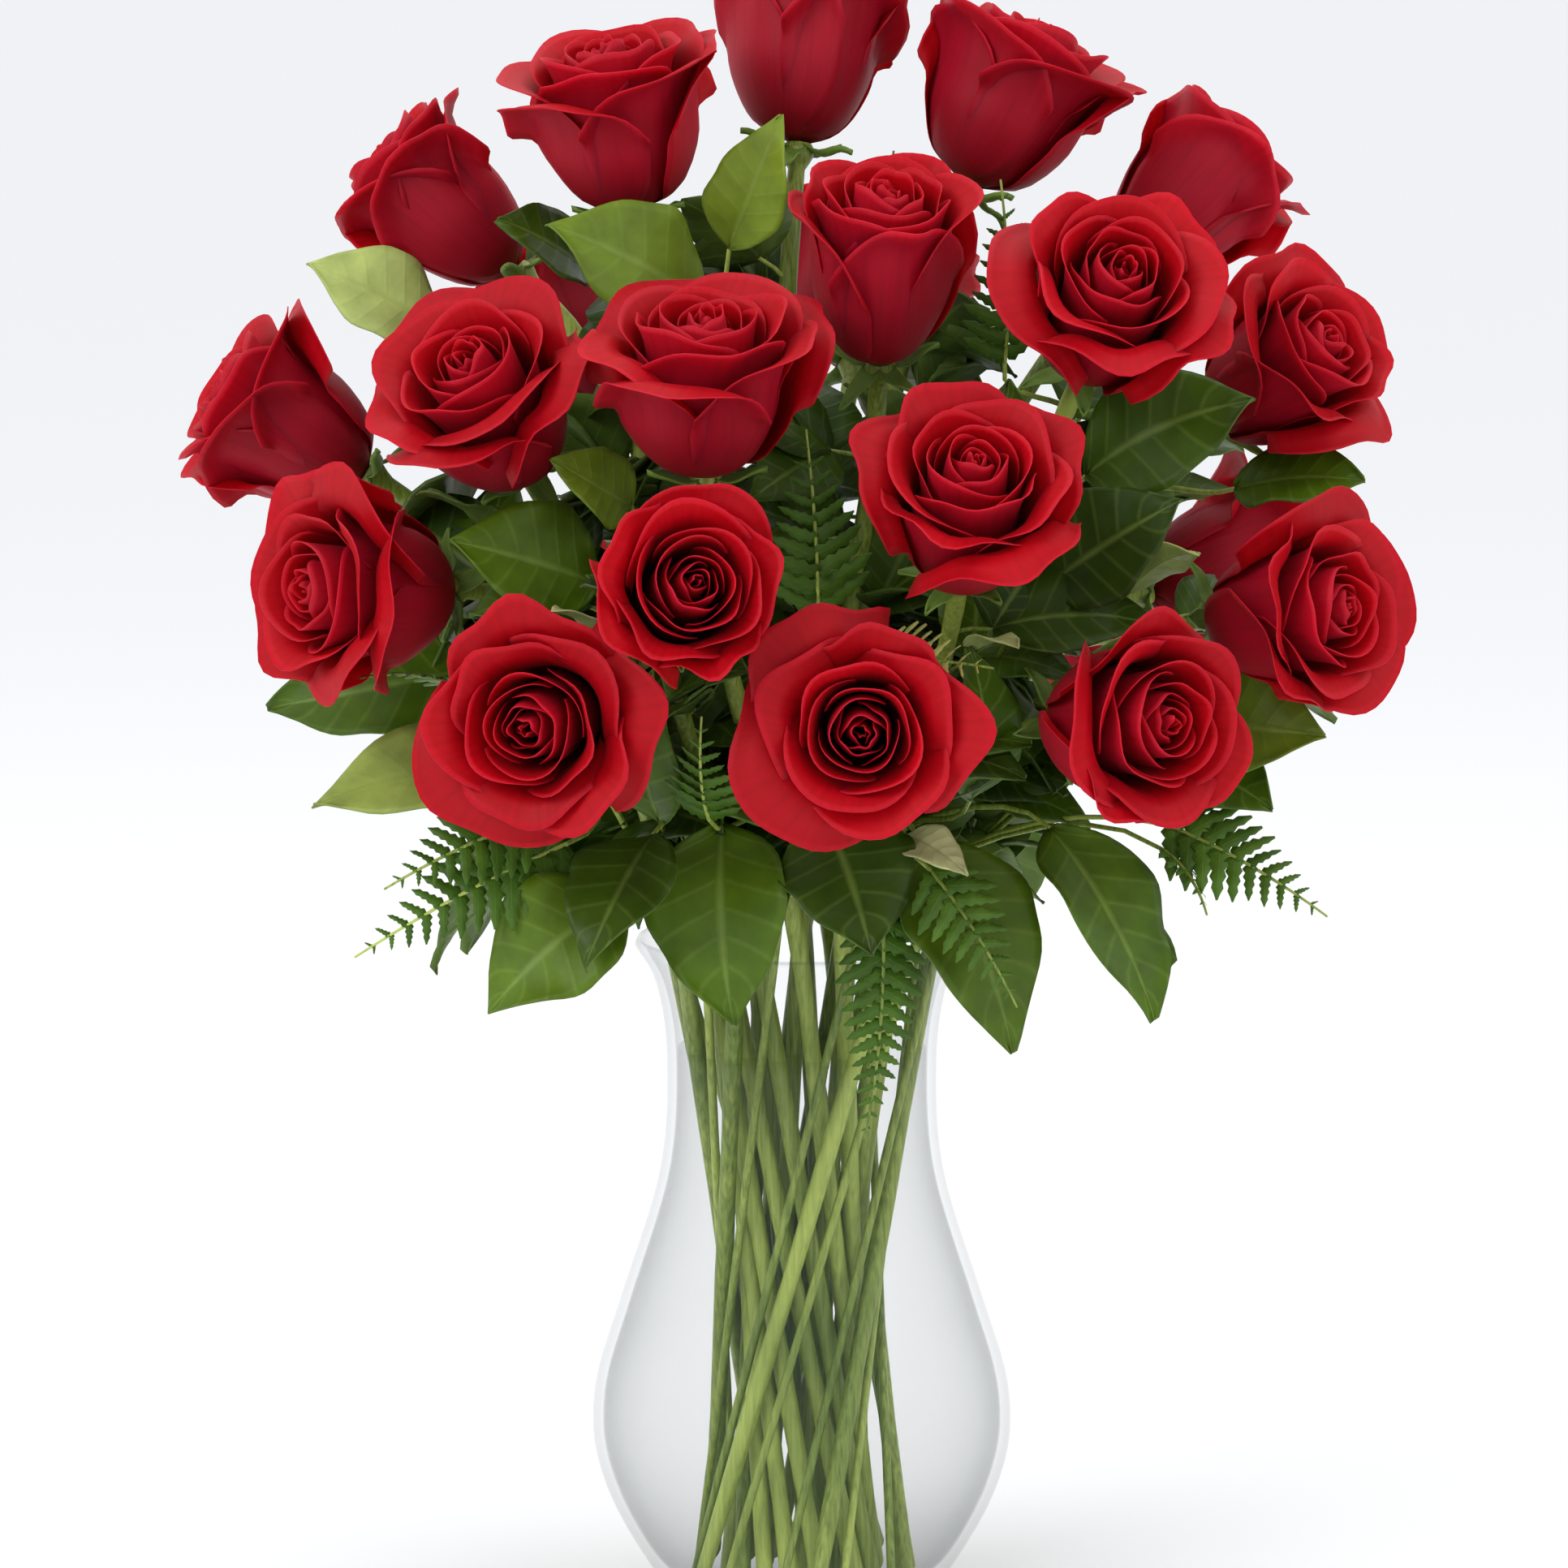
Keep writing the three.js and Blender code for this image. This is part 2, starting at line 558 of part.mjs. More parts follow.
// A side frond: one thin arched blade cut to the rib into pairs of leaflets.
function frondSolid(frond, start) {
  const frame = bladeFrame(frond);
  const pitch = 1 / (frond.pairs + 1);
  const points = stalk(frame, start);
  const triangles = [...STALK_TRIANGLES];
  const [leftEdge, rightEdge] = [[0, 2], [1, 3]];
  let [left, right] = [2, 3];
  const stepUp = (share) => {
    const rib = (STALK_WIDTH / 2) * (1 - 0.5 * share);
    const nextLeft = points.push(frame.at(share, -rib)) - 1;
    const nextRight = points.push(frame.at(share, rib)) - 1;
    triangles.push([left, right, nextRight], [left, nextRight, nextLeft]);
    [left, right] = [nextLeft, nextRight];
    leftEdge.push(left);
    rightEdge.push(right);
  };
  for (let pair = 0; pair < frond.pairs; pair++) {
    stepUp(pitch * (pair + 0.3));
    const [lowerLeft, lowerRight] = [left, right];
    const root = pitch * (pair + 0.65);
    const reach = frond.leaflet * Math.min(1, 0.7 + 1.6 * root) * (1 - root) ** 0.7;
    const share = root + (LEAFLET_SLANT * reach) / frame.length;
    const hang = -LEAFLET_DROOP * reach;
    const tips = [-1, 1].map((way) => points.push(frame.at(share, way * reach, hang)) - 1);
    leftEdge.push(tips[0]);
    rightEdge.push(tips[1]);
    stepUp(pitch * (pair + 1));
    triangles.push([lowerLeft, left, tips[0]], [lowerRight, tips[1], right]);
  }
  const tip = points.push(frame.at(1)) - 1;
  triangles.push([left, right, tip]);
  return plate(points, triangles, [...rightEdge, tip, ...leftEdge.reverse()], BLADE_WALL);
}

// A sprig in one piece: its stem down into the water, and its blades, each on a stalk from the
// nearest joint of the stem.
function sprigSolid(sprig, blades, shape) {
  const run = gapRun(sprig.gap);
  const joints = sweep(run.end, run.rise, vec(...sprig.top), toward(...sprig.heads), SPRIG_STEPS);
  const radii = joints.map((_, i) => GREEN_STEM_RADIUS - (GREEN_STEM_TAPER * (i + 1)) / SPRIG_STEPS);
  const stem = limb([run.start, run.end, ...joints], [run.radius, run.radius, ...radii]);
  const grown = blades.map((blade) => {
    const aim = vec(...blade.from).add(vec(0, 0, -(blade.rise ?? STALK_RISE)));
    const nearer = (a, b) => (b.distanceTo(aim) < a.distanceTo(aim) ? b : a);
    return shape(blade, joints.reduce(nearer));
  });
  return wasm.Manifold.union([stem, ...grown]);
}

// ---------------------------------------------------------------- build

const bouquet = new THREE.Group();
const lathe = (profile) =>
  solidOf(
    new THREE.LatheGeometry(
      profile.map(([r, z]) => new THREE.Vector2(r, z)),
      VASE_SIDES,
    ).rotateX(Math.PI / 2),
  );
bouquet.add(meshOf("vase", lathe([...VASE_OUTSIDE, VASE_LIP, ...VASE_INSIDE]), GLASS));

const rings = Object.fromEntries(Object.keys(RINGS).map((ring) => [ring, spreadRing(ring)]));
const gapRun = (gap) =>
  bundleRun("outer", rings.outer.first + (gap + 0.5) * rings.outer.pitch, GREEN_STEM_RADIUS);
const runs = [...LEMON_LEAF, ...LEATHER_FERN].map((sprig) => gapRun(sprig.gap));

ROSES.forEach((rose, index) => {
  const name = `rose_${String(index + 1).padStart(2, "0")}`;
  const { axis, base, matrix } = headPlace(rose, index);
  const ring = stemRing(rose);
  const run = bundleRun(ring, rings[ring].bearings.get(index), ROSE_STEM_RADIUS);
  runs.push(run);
  const below = (depth) => base.clone().addScaledVector(axis, -depth);
  const neck = sweep(run.end, run.rise, below(HIP_LENGTH), axis, ROSE_STEPS);
  const stretch = [run.start, run.end, ...neck];
  const line = [...stretch, below(HIP_WIDEST), below(TOUCH_GAP)];
  const radii = [...stretch.map(() => run.radius), HIP_RADIUS, HIP_TOP_RADIUS];
  const sepals = SEPAL_TIPS.map((height) => (out) => {
    const level = out.addScaledVector(axis, -out.dot(axis)).setLength(SEPAL_REACH);
    return base.clone().add(level).addScaledVector(axis, height);
  });
  bouquet.add(meshOf(`${name}_stem`, limb(line, radii, sepals), STEM));
  bouquet.add(meshOf(`${name}_bloom`, headSolid(rose).transform(matrix.elements), PETAL));
});

LEMON_LEAF.forEach((sprig, i) => {
  bouquet.add(meshOf(`lemon_leaf_${i + 1}`, sprigSolid(sprig, sprig.leaves, leafSolid), LEAF));
});
LEATHER_FERN.forEach((fern, i) => {
  bouquet.add(meshOf(`leather_fern_${i + 1}`, sprigSolid(fern, fern.fronds, frondSolid), FERN));
});

// The water fills the vase up to its level, less a hole for each stem.
const wall = VASE_INSIDE.filter(([, z]) => z < WATER_LEVEL)
  .map(([r, z]) => [Math.max(r - TOUCH_GAP, 0), z + TOUCH_GAP])
  .reverse();
const filled = lathe([...wall, [wall.at(-1)[0], WATER_LEVEL], [0, WATER_LEVEL]]);
const water = runs.map(stemHole).reduce((left, hole) => left.subtract(hole), filled);
bouquet.add(meshOf("water", water, WATER));

export default bouquet;
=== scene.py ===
"""The looks of two dozen long-stemmed red roses, with lemon leaf and leather fern, in a vase of water.

Metres, +Z up. The origin is the middle of the vase's flat underside, and the bunch's front faces -Y.
Bearings are degrees round the vase: 0 is the front (-Y), 90 the right side (+X). Lifts are degrees
above level.
"""

import logging
import math
import random
from collections.abc import Callable, Iterator, Sequence
from dataclasses import dataclass
from enum import Enum
from functools import partial

import bpy
import numpy as np
from mathutils import Matrix, Vector


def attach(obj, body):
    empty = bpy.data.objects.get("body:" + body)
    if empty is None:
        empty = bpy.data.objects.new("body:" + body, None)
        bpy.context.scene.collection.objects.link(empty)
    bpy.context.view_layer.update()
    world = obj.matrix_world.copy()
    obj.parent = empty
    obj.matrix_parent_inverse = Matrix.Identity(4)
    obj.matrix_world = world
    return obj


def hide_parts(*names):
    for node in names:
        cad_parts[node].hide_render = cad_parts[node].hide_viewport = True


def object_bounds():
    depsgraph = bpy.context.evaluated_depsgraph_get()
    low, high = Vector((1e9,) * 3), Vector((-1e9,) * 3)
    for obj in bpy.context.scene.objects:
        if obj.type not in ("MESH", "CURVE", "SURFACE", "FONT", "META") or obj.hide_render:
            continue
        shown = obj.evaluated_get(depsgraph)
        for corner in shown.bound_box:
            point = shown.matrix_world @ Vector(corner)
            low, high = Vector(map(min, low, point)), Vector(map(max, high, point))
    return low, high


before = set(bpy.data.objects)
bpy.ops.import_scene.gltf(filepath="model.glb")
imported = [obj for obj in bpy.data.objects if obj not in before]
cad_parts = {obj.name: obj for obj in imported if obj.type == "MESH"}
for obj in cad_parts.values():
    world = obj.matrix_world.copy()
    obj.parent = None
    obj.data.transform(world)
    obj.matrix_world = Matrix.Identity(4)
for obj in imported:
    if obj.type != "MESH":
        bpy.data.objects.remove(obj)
CAD_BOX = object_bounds()

log = logging.getLogger("roses")

Material = bpy.types.Material
Object = bpy.types.Object
Point = tuple[float, float, float]
Aim = tuple[float, float]
# A stalk's points, and its radius at each.
Line = tuple[list[Vector], list[float]]

# ---------------------------------------------------------------- sizes shared by the pieces

BODY = "root"
VASE_FLOOR = 0.011
WATER_LEVEL = 0.194

# The stems stand just off the glass floor, and run straight to the exit, at the lip. They are cut off on
# the slant: what is under the cut's height is raised on one side and lowered on the other.
STEM_FOOT = VASE_FLOOR + 0.003
STEM_EXIT = 0.222
RUN_STEPS = 8
CUT_HEIGHT = 0.002
CUT_SLANT = 0.9

# Degrees that the bundle of stems turns on its way from the floor to the lip.
BUNDLE_TWIST = 96

ROSE_STEM_RADIUS = 0.003
GREEN_STEM_RADIUS = 0.0015
GREEN_TIP_RADIUS = 0.0009
HIP_LENGTH = 0.009
SEPAL_REACH = 0.020

# A stalk starts near a point this far under its blade, and a blade arches by this share of its length.
STALK_RISE = 0.025
BLADE_BOW = 0.09

# The point that the leaves look away from, and how much more they look up than that.
CROWN = Vector((0, 0, 0.290))
UPTURN = 0.3

# Thickness of the one-metre blades that are copied on points.
UNIT_WALL = 0.02

# The turn from one petal to the next, and from one rose to the next.
GOLDEN_ANGLE = math.radians(137.5)

# How far inside the CAD's box the blooms stay.
BOX_ROOM = 0.0008


class Ring(Enum):
    """One ring of the twisted bundle of stems.

    Each holds its radius at the foot and at the lip, which way round it turns (1 or -1), and how many
    degrees its stems lead their heads by at the lip.
    """

    OUTER = (0.0375, 0.0438, 1, 20.5)
    MIDDLE = (0.025, 0.031, -1, 27)
    INNER = (0.0125, 0.0155, 1, 18)


@dataclass(frozen=True)
class RoseSpec:
    """Where a rose is and faces, its width, how far it has opened, and whether its stem crosses the rest."""

    at: Point
    faces: Aim
    across: float
    opened: float
    ring: Ring
    crosses: bool = False

    @property
    def stem_ring(self) -> Ring:
        """The ring that its stem runs in: an outer head's stem that crosses runs in the middle ring."""
        return Ring.MIDDLE if self.crosses else self.ring


@dataclass(frozen=True)
class BladeSpec:
    """A lemon leaf's blade, or a side frond's rib, from its base to its tip."""

    base: Point
    tip: Point
    width: float
    pairs: int = 0
    rise: float = STALK_RISE
    tone: float = 0.3
    front: float = 0.0


@dataclass(frozen=True)
class SprigSpec:
    """A leafy sprig or fern: the gap of the outer ring it stands in, its stem's end and its blades."""

    gap: int
    top: Point
    heads: Aim
    blades: tuple[BladeSpec, ...]


ROSES = (
    RoseSpec((0.002, 0.025, 0.528), (160, 74), 0.076, 0.3, Ring.INNER),
    RoseSpec((-0.060, -0.030, 0.506), (-35, 74), 0.080, 0.7, Ring.INNER),
    RoseSpec((0.069, 0.015, 0.511), (88, 64), 0.082, 0.6, Ring.INNER),
    RoseSpec((-0.120, 0.020, 0.476), (-92, 42), 0.068, 0.4, Ring.MIDDLE),
    RoseSpec((0.132, 0.055, 0.478), (102, 46), 0.068, 0.4, Ring.MIDDLE),
    RoseSpec((0.026, -0.070, 0.460), (4, 64), 0.060, 0.1, Ring.INNER),
    RoseSpec((0.097, -0.090, 0.448), (14, 38), 0.080, 0.8, Ring.MIDDLE),
    RoseSpec((0.157, -0.035, 0.424), (46, 30), 0.074, 0.7, Ring.MIDDLE),
    RoseSpec((-0.099, -0.090, 0.417), (-30, 44), 0.084, 0.8, Ring.MIDDLE),
    RoseSpec((-0.031, -0.114, 0.425), (0, 68), 0.088, 0.8, Ring.MIDDLE),
    RoseSpec((-0.172, 0.005, 0.404), (-84, 32), 0.076, 0.6, Ring.OUTER),
    RoseSpec((0.052, -0.132, 0.388), (5, 44), 0.078, 0.7, Ring.MIDDLE),
    RoseSpec((-0.140, -0.085, 0.358), (-52, 4), 0.080, 0.7, Ring.OUTER, True),
    RoseSpec((-0.037, -0.157, 0.364), (10, 14), 0.063, 0.3, Ring.OUTER),
    RoseSpec((-0.081, -0.137, 0.322), (-14, 0), 0.083, 0.9, Ring.OUTER),
    RoseSpec((0.018, -0.152, 0.321), (0, 4), 0.081, 1.0, Ring.OUTER, True),
    RoseSpec((0.102, -0.127, 0.320), (32, 6), 0.071, 0.5, Ring.OUTER),
    RoseSpec((0.157, -0.082, 0.350), (45, 8), 0.080, 0.8, Ring.OUTER, True),
    RoseSpec((0.146, 0.060, 0.350), (112, 12), 0.076, 0.7, Ring.OUTER),
    RoseSpec((0.076, 0.142, 0.322), (152, 6), 0.080, 0.8, Ring.OUTER, True),
    RoseSpec((-0.046, 0.155, 0.330), (197, 12), 0.078, 0.6, Ring.OUTER),
    RoseSpec((-0.140, 0.074, 0.338), (242, 8), 0.080, 0.8, Ring.OUTER, True),
    RoseSpec((0.022, 0.108, 0.442), (170, 46), 0.080, 0.6, Ring.MIDDLE),
    RoseSpec((-0.076, 0.084, 0.430), (222, 42), 0.076, 0.5, Ring.MIDDLE),
)

LEMON_LEAF = (
    SprigSpec(2, (-0.104, -0.008, 0.402), (-95, 50), (
        BladeSpec((-0.121, -0.002, 0.436), (-0.163, -0.012, 0.459), 0.034, tone=0.85, front=1.0),
        BladeSpec((-0.098, -0.054, 0.370), (-0.124, -0.068, 0.388), 0.026),
        BladeSpec((-0.110, -0.014, 0.324), (-0.178, -0.012, 0.310), 0.040, front=1.0),
        BladeSpec((-0.074, -0.020, 0.272), (-0.124, -0.036, 0.228), 0.046),
        BladeSpec((-0.072, 0.018, 0.270), (-0.116, 0.032, 0.222), 0.046),
    )),
    SprigSpec(4, (-0.062, -0.090, 0.348), (-30, 45), (
        BladeSpec((-0.085, -0.070, 0.293), (-0.157, -0.096, 0.291), 0.040, tone=0.85),
        BladeSpec((-0.058, -0.100, 0.262), (-0.101, -0.112, 0.225), 0.042, tone=0.4),
        BladeSpec((-0.048, -0.096, 0.280), (-0.069, -0.130, 0.242), 0.036, tone=0.15),
        BladeSpec((-0.026, -0.092, 0.283), (-0.022, -0.114, 0.221), 0.048, tone=0.4),
        BladeSpec((-0.046, -0.084, 0.282), (-0.048, -0.104, 0.334), 0.030, tone=0.25),
        BladeSpec((-0.066, -0.086, 0.360), (-0.112, -0.106, 0.376), 0.040, tone=0.4, front=0.8),
        BladeSpec((-0.055, -0.088, 0.385), (-0.080, -0.110, 0.402), 0.026, tone=0.5, front=0.9),
        BladeSpec((-0.068, -0.084, 0.352), (-0.107, -0.094, 0.350), 0.030),
        BladeSpec((-0.062, -0.096, 0.342), (-0.080, -0.122, 0.354), 0.016, tone=0.95),
    )),
    SprigSpec(6, (0.070, -0.084, 0.348), (40, 50), (
        BladeSpec((0.008, -0.094, 0.283), (0.022, -0.126, 0.245), 0.044, tone=0.2),
        BladeSpec((0.038, -0.092, 0.277), (0.068, -0.112, 0.212), 0.044, tone=0.35),
        BladeSpec((0.080, -0.082, 0.280), (0.114, -0.106, 0.222), 0.046),
        BladeSpec((0.033, -0.100, 0.280), (0.052, -0.128, 0.272), 0.016, tone=0.95),
        BladeSpec((0.054, -0.102, 0.340), (0.068, -0.128, 0.344), 0.016, tone=0.95),
        BladeSpec((0.080, -0.078, 0.359), (0.121, -0.100, 0.388), 0.038, tone=0.15, front=0.6),
        BladeSpec((0.104, -0.084, 0.357), (0.126, -0.112, 0.373), 0.018, rise=0.005, tone=0.9),
        BladeSpec((0.054, -0.088, 0.290), (0.054, -0.110, 0.342), 0.028, tone=0.2),
        BladeSpec((0.058, -0.062, 0.376), (0.066, -0.084, 0.426), 0.036, tone=0.2, front=0.8),
    )),
    SprigSpec(8, (0.114, -0.018, 0.384), (80, 50), (
        BladeSpec((0.130, -0.058, 0.314), (0.168, -0.082, 0.311), 0.038, rise=0.095, tone=0.5, front=1.3),
        BladeSpec((0.122, -0.054, 0.298), (0.152, -0.080, 0.286), 0.032, rise=0.085, front=1.2),
        BladeSpec((0.142, -0.036, 0.386), (0.183, -0.056, 0.390), 0.034, tone=0.35, front=0.8),
        BladeSpec((0.092, -0.056, 0.392), (0.146, -0.074, 0.418), 0.042, tone=0.2, front=1.2),
        BladeSpec((0.112, 0.012, 0.330), (0.180, 0.016, 0.302), 0.044),
        BladeSpec((0.078, -0.014, 0.270), (0.124, -0.022, 0.226), 0.046),
        BladeSpec((0.118, 0.008, 0.420), (0.166, 0.004, 0.450), 0.036),
    )),
    SprigSpec(9, (0.078, 0.066, 0.372), (140, 45), (
        BladeSpec((0.072, 0.026, 0.270), (0.112, 0.046, 0.222), 0.046),
        BladeSpec((0.048, 0.062, 0.270), (0.078, 0.098, 0.224), 0.046),
        BladeSpec((0.105, 0.092, 0.330), (0.150, 0.122, 0.318), 0.040),
        BladeSpec((0.062, 0.098, 0.376), (0.098, 0.132, 0.396), 0.040),
        BladeSpec((0.092, 0.058, 0.402), (0.132, 0.082, 0.428), 0.036),
    )),
    SprigSpec(0, (-0.034, 0.004, 0.428), (-60, 75), (
        BladeSpec((-0.022, 0.076, 0.270), (-0.034, 0.120, 0.224), 0.046),
        BladeSpec((-0.056, 0.056, 0.268), (-0.090, 0.086, 0.222), 0.046),
        BladeSpec((-0.085, 0.104, 0.335), (-0.112, 0.146, 0.340), 0.038),
        BladeSpec((-0.032, -0.048, 0.446), (-0.082, -0.070, 0.474), 0.042, tone=0.6, front=1.6),
        BladeSpec((-0.070, -0.012, 0.455), (-0.100, -0.034, 0.474), 0.030, front=1.2),
        BladeSpec((-0.024, -0.026, 0.464), (-0.008, -0.038, 0.508), 0.028, tone=0.62, front=1.6),
        BladeSpec((-0.030, 0.078, 0.380), (-0.042, 0.114, 0.392), 0.038),
    )),
)

LEATHER_FERN = (
    SprigSpec(3, (-0.092, -0.062, 0.322), (-58, 40), (
        BladeSpec((-0.076, -0.090, 0.276), (-0.143, -0.115, 0.243), 0.014, pairs=8, front=0.7),
        BladeSpec((-0.088, -0.096, 0.284), (-0.133, -0.122, 0.266), 0.012, pairs=6, front=0.7),
        BladeSpec((-0.104, -0.066, 0.320), (-0.142, -0.092, 0.330), 0.009, pairs=5),
    )),
    SprigSpec(5, (0.000, -0.084, 0.372), (0, 60), (
        BladeSpec((0.026, -0.084, 0.252), (0.020, -0.078, 0.176), 0.011, pairs=9),
        BladeSpec((0.040, -0.116, 0.272), (0.068, -0.128, 0.229), 0.011, pairs=6),
        BladeSpec((-0.030, -0.104, 0.286), (-0.032, -0.128, 0.322), 0.010, pairs=5),
        BladeSpec((0.022, -0.090, 0.333), (0.060, -0.134, 0.338), 0.011, pairs=6, tone=0.95, front=0.8),
        BladeSpec((0.005, -0.084, 0.350), (0.001, -0.092, 0.410), 0.013, pairs=7),
    )),
    SprigSpec(7, (0.092, -0.014, 0.408), (75, 60), (
        BladeSpec((0.118, -0.074, 0.280), (0.169, -0.095, 0.253), 0.013, pairs=7, front=0.9),
        BladeSpec((0.116, -0.080, 0.273), (0.130, -0.098, 0.254), 0.007, pairs=4),
        BladeSpec((0.066, -0.042, 0.428), (0.064, -0.056, 0.488), 0.011, pairs=7, front=1.5),
    )),
    SprigSpec(10, (0.026, 0.022, 0.440), (180, 75), (
        BladeSpec((0.024, 0.002, 0.452), (0.030, -0.022, 0.496), 0.010, pairs=6, front=1.5),
        BladeSpec((0.005, 0.100, 0.290), (0.008, 0.172, 0.262), 0.013, pairs=8),
        BladeSpec((0.040, 0.082, 0.280), (0.084, 0.140, 0.258), 0.012, pairs=7),
    )),
)


# ---------------------------------------------------------------- directions and paths


def toward(bearing: float, lift: float) -> Vector:
    """Unit vector for a bearing and a lift, both in degrees."""
    turn, up = math.radians(bearing), math.radians(lift)
    return Vector((math.sin(turn) * math.cos(up), -math.cos(turn) * math.cos(up), math.sin(up)))


def bundle_run(ring: Ring, bearing: float) -> tuple[Vector, Vector]:
    """The straight run of a stem in the twisted bundle.

    Args:
        ring: the ring of the bundle that the stem belongs to.
        bearing: where the stem passes the lip, in degrees.

    Returns:
        Its foot on the vase's floor, and its exit at the lip.
    """
    foot, exit_radius, way, _ = ring.value
    start = toward(bearing - way * BUNDLE_TWIST, 0) * foot
    end = toward(bearing, 0) * exit_radius
    start.z, end.z = STEM_FOOT, STEM_EXIT
    return start, end


def sweep(a: Vector, start: Vector, b: Vector, end: Vector, steps: int) -> list[Vector]:
    """Points of a smooth sweep from a to b.

    Args:
        a: first point, which the result leaves out.
        start: direction in which the sweep leaves a.
        b: last point.
        end: direction in which it arrives at b.
        steps: number of points.

    Returns:
        The points, the last of them b.
    """
    reach = (b - a).length
    points = []
    for i in range(steps):
        u = (i + 1) / steps
        points.append(
            a * (2 * u**3 - 3 * u**2 + 1)
            + start * ((u**3 - 2 * u**2 + u) * reach)
            + b * (3 * u**2 - 2 * u**3)
            + end * ((u**3 - u**2) * reach)
        )
    return points


def climb(foot: Vector, leave: Vector, top: Vector, heads: Vector, steps: int) -> list[Vector]:
    """A stem's middle: straight up the vase and out of its neck, then in one sweep to its top.

    Args:
        foot: where it stands.
        leave: where it passes the lip.
        top: where it ends.
        heads: the way it points there.
        steps: number of points of the sweep.

    Returns:
        The points, from the foot to the top.
    """
    run = [foot.lerp(leave, i / RUN_STEPS) for i in range(RUN_STEPS + 1)]
    return run + sweep(leave, (leave - foot).normalized(), top, heads, steps)


def ring_bearings(ring: Ring) -> tuple[dict[int, float], float, float]:
    """Bearings at the lip for the roses of one ring, evenly spaced in the order of their heads.

    Args:
        ring: the ring.

    Returns:
        Bearing by the rose's place in ROSES, the first bearing, and the pitch.
    """
    members = [(i, r) for i, r in enumerate(ROSES) if ring in (r.ring, r.stem_ring)]
    heads = [(math.degrees(math.atan2(r.at[0], -r.at[1])), i) for i, r in members]
    heads.sort()
    pitch = 360 / len(heads)
    start = sum(bearing - n * pitch for n, (bearing, _) in enumerate(heads)) / len(heads)
    _, _, way, lead = ring.value
    first = start - way * lead
    return {i: first + n * pitch for n, (_, i) in enumerate(heads)}, first, pitch


def through(knots: Sequence[Sequence[float]], shares: np.ndarray) -> np.ndarray:
    """Smooth curve through knots, evenly spaced in its parameter (Catmull-Rom).

    Args:
        knots: the points, of any dimension.
        shares: parameters from 0 at the first knot to 1 at the last.

    Returns:
        One row for each share.
    """
    p = np.asarray(knots, float)
    p = np.vstack([2 * p[0] - p[1], p, 2 * p[-1] - p[-2]])
    where = np.clip(shares, 0, 1) * (len(p) - 3)
    i = np.minimum(where.astype(int), len(p) - 4)
    u = (where - i)[:, None]
    a, b, c, d = p[i], p[i + 1], p[i + 2], p[i + 3]
    return 0.5 * (2 * b + (c - a) * u + (2 * a - 5 * b + 4 * c - d) * u**2 + (3 * b - a - 3 * c + d) * u**3)


def smooth_step(low: float, high: float, x: np.ndarray) -> np.ndarray:
    """Eases from 0 at low to 1 at high."""
    t = np.clip((x - low) / (high - low), 0, 1)
    return t * t * (3 - 2 * t)


# ---------------------------------------------------------------- meshes


class Sheets:
    """Gathers thin closed shells made of quads, with a UV place and a shade for each point."""

    def __init__(self) -> None:
        """Starts with nothing gathered."""
        self.points: list[np.ndarray] = []
        self.quads: list[np.ndarray] = []
        self.uvs: list[np.ndarray] = []
        self.shades: list[np.ndarray] = []
        self.count = 0

    def add_shell(
        self, grid: np.ndarray, wall: np.ndarray, uv: np.ndarray, layer: float, chance: float
    ) -> None:
        """Adds a grid of points as a thin closed shell, half its wall to each side of the grid.

        Args:
            grid: points by row and column; the upper face looks along rows x columns.
            wall: thickness by row and column.
            uv: place on the surface by row and column.
            layer: how far out in the flower, or how pale a leaf is, from 0 to 1.
            chance: a random number from 0 to 1, one for the whole blade.
        """
        rows, cols, _ = grid.shape
        normal = np.cross(np.gradient(grid, axis=0), np.gradient(grid, axis=1))
        normal /= np.maximum(np.linalg.norm(normal, axis=2, keepdims=True), 1e-12)
        half = normal * wall[..., None] / 2
        n = rows * cols
        number = np.arange(n).reshape(rows, cols)
        a, b, c, d = number[:-1, :-1], number[1:, :-1], number[1:, 1:], number[:-1, 1:]
        upper = np.stack([a, b, c, d], axis=-1).reshape(-1, 4)
        lower = upper[:, ::-1] + n
        loop = np.concatenate([number[0, :], number[1:, -1], number[-1, -2::-1], number[-2:0:-1, 0]])
        following = np.roll(loop, -1)
        rim = np.stack([loop, following, following + n, loop + n], axis=-1)
        side = np.repeat([0.0, 1.0], n)
        self.points.append(np.concatenate([(grid + half).reshape(-1, 3), (grid - half).reshape(-1, 3)]))
        self.quads.append(np.concatenate([upper, lower, rim]) + self.count)
        self.uvs.append(np.tile(uv.reshape(-1, 2), (2, 1)))
        self.shades.append(np.stack([side, np.full(2 * n, layer), np.full(2 * n, chance)], axis=-1))
        self.count += 2 * n

    def object(self, name: str, material: Material) -> Object:
        """Makes the gathered shells one object.

        Args:
            name: the object's name.
            material: its finish.

        Returns:
            The object, in the scene.
        """
        points = np.concatenate(self.points)
        quads = np.concatenate(self.quads)
        uv, shade = np.concatenate(self.uvs), np.concatenate(self.shades)
        mesh = bpy.data.meshes.new(name)
        mesh.vertices.add(len(points))
        mesh.vertices.foreach_set("co", points.ravel())
        mesh.loops.add(quads.size)
        mesh.loops.foreach_set("vertex_index", quads.ravel())
        mesh.polygons.add(len(quads))
        mesh.polygons.foreach_set("loop_start", np.arange(0, quads.size, 4))
        mesh.update(calc_edges=True)
        mesh.shade_smooth()
        mesh.uv_layers.new(name="surface").data.foreach_set("uv", uv[quads.ravel()].ravel())
        tint = mesh.attributes.new("shade", "FLOAT_COLOR", "POINT")
        tint.data.foreach_set("color", np.column_stack([shade, np.ones(len(shade))]).ravel())
        mesh.materials.append(material)
        return stand(name, mesh)


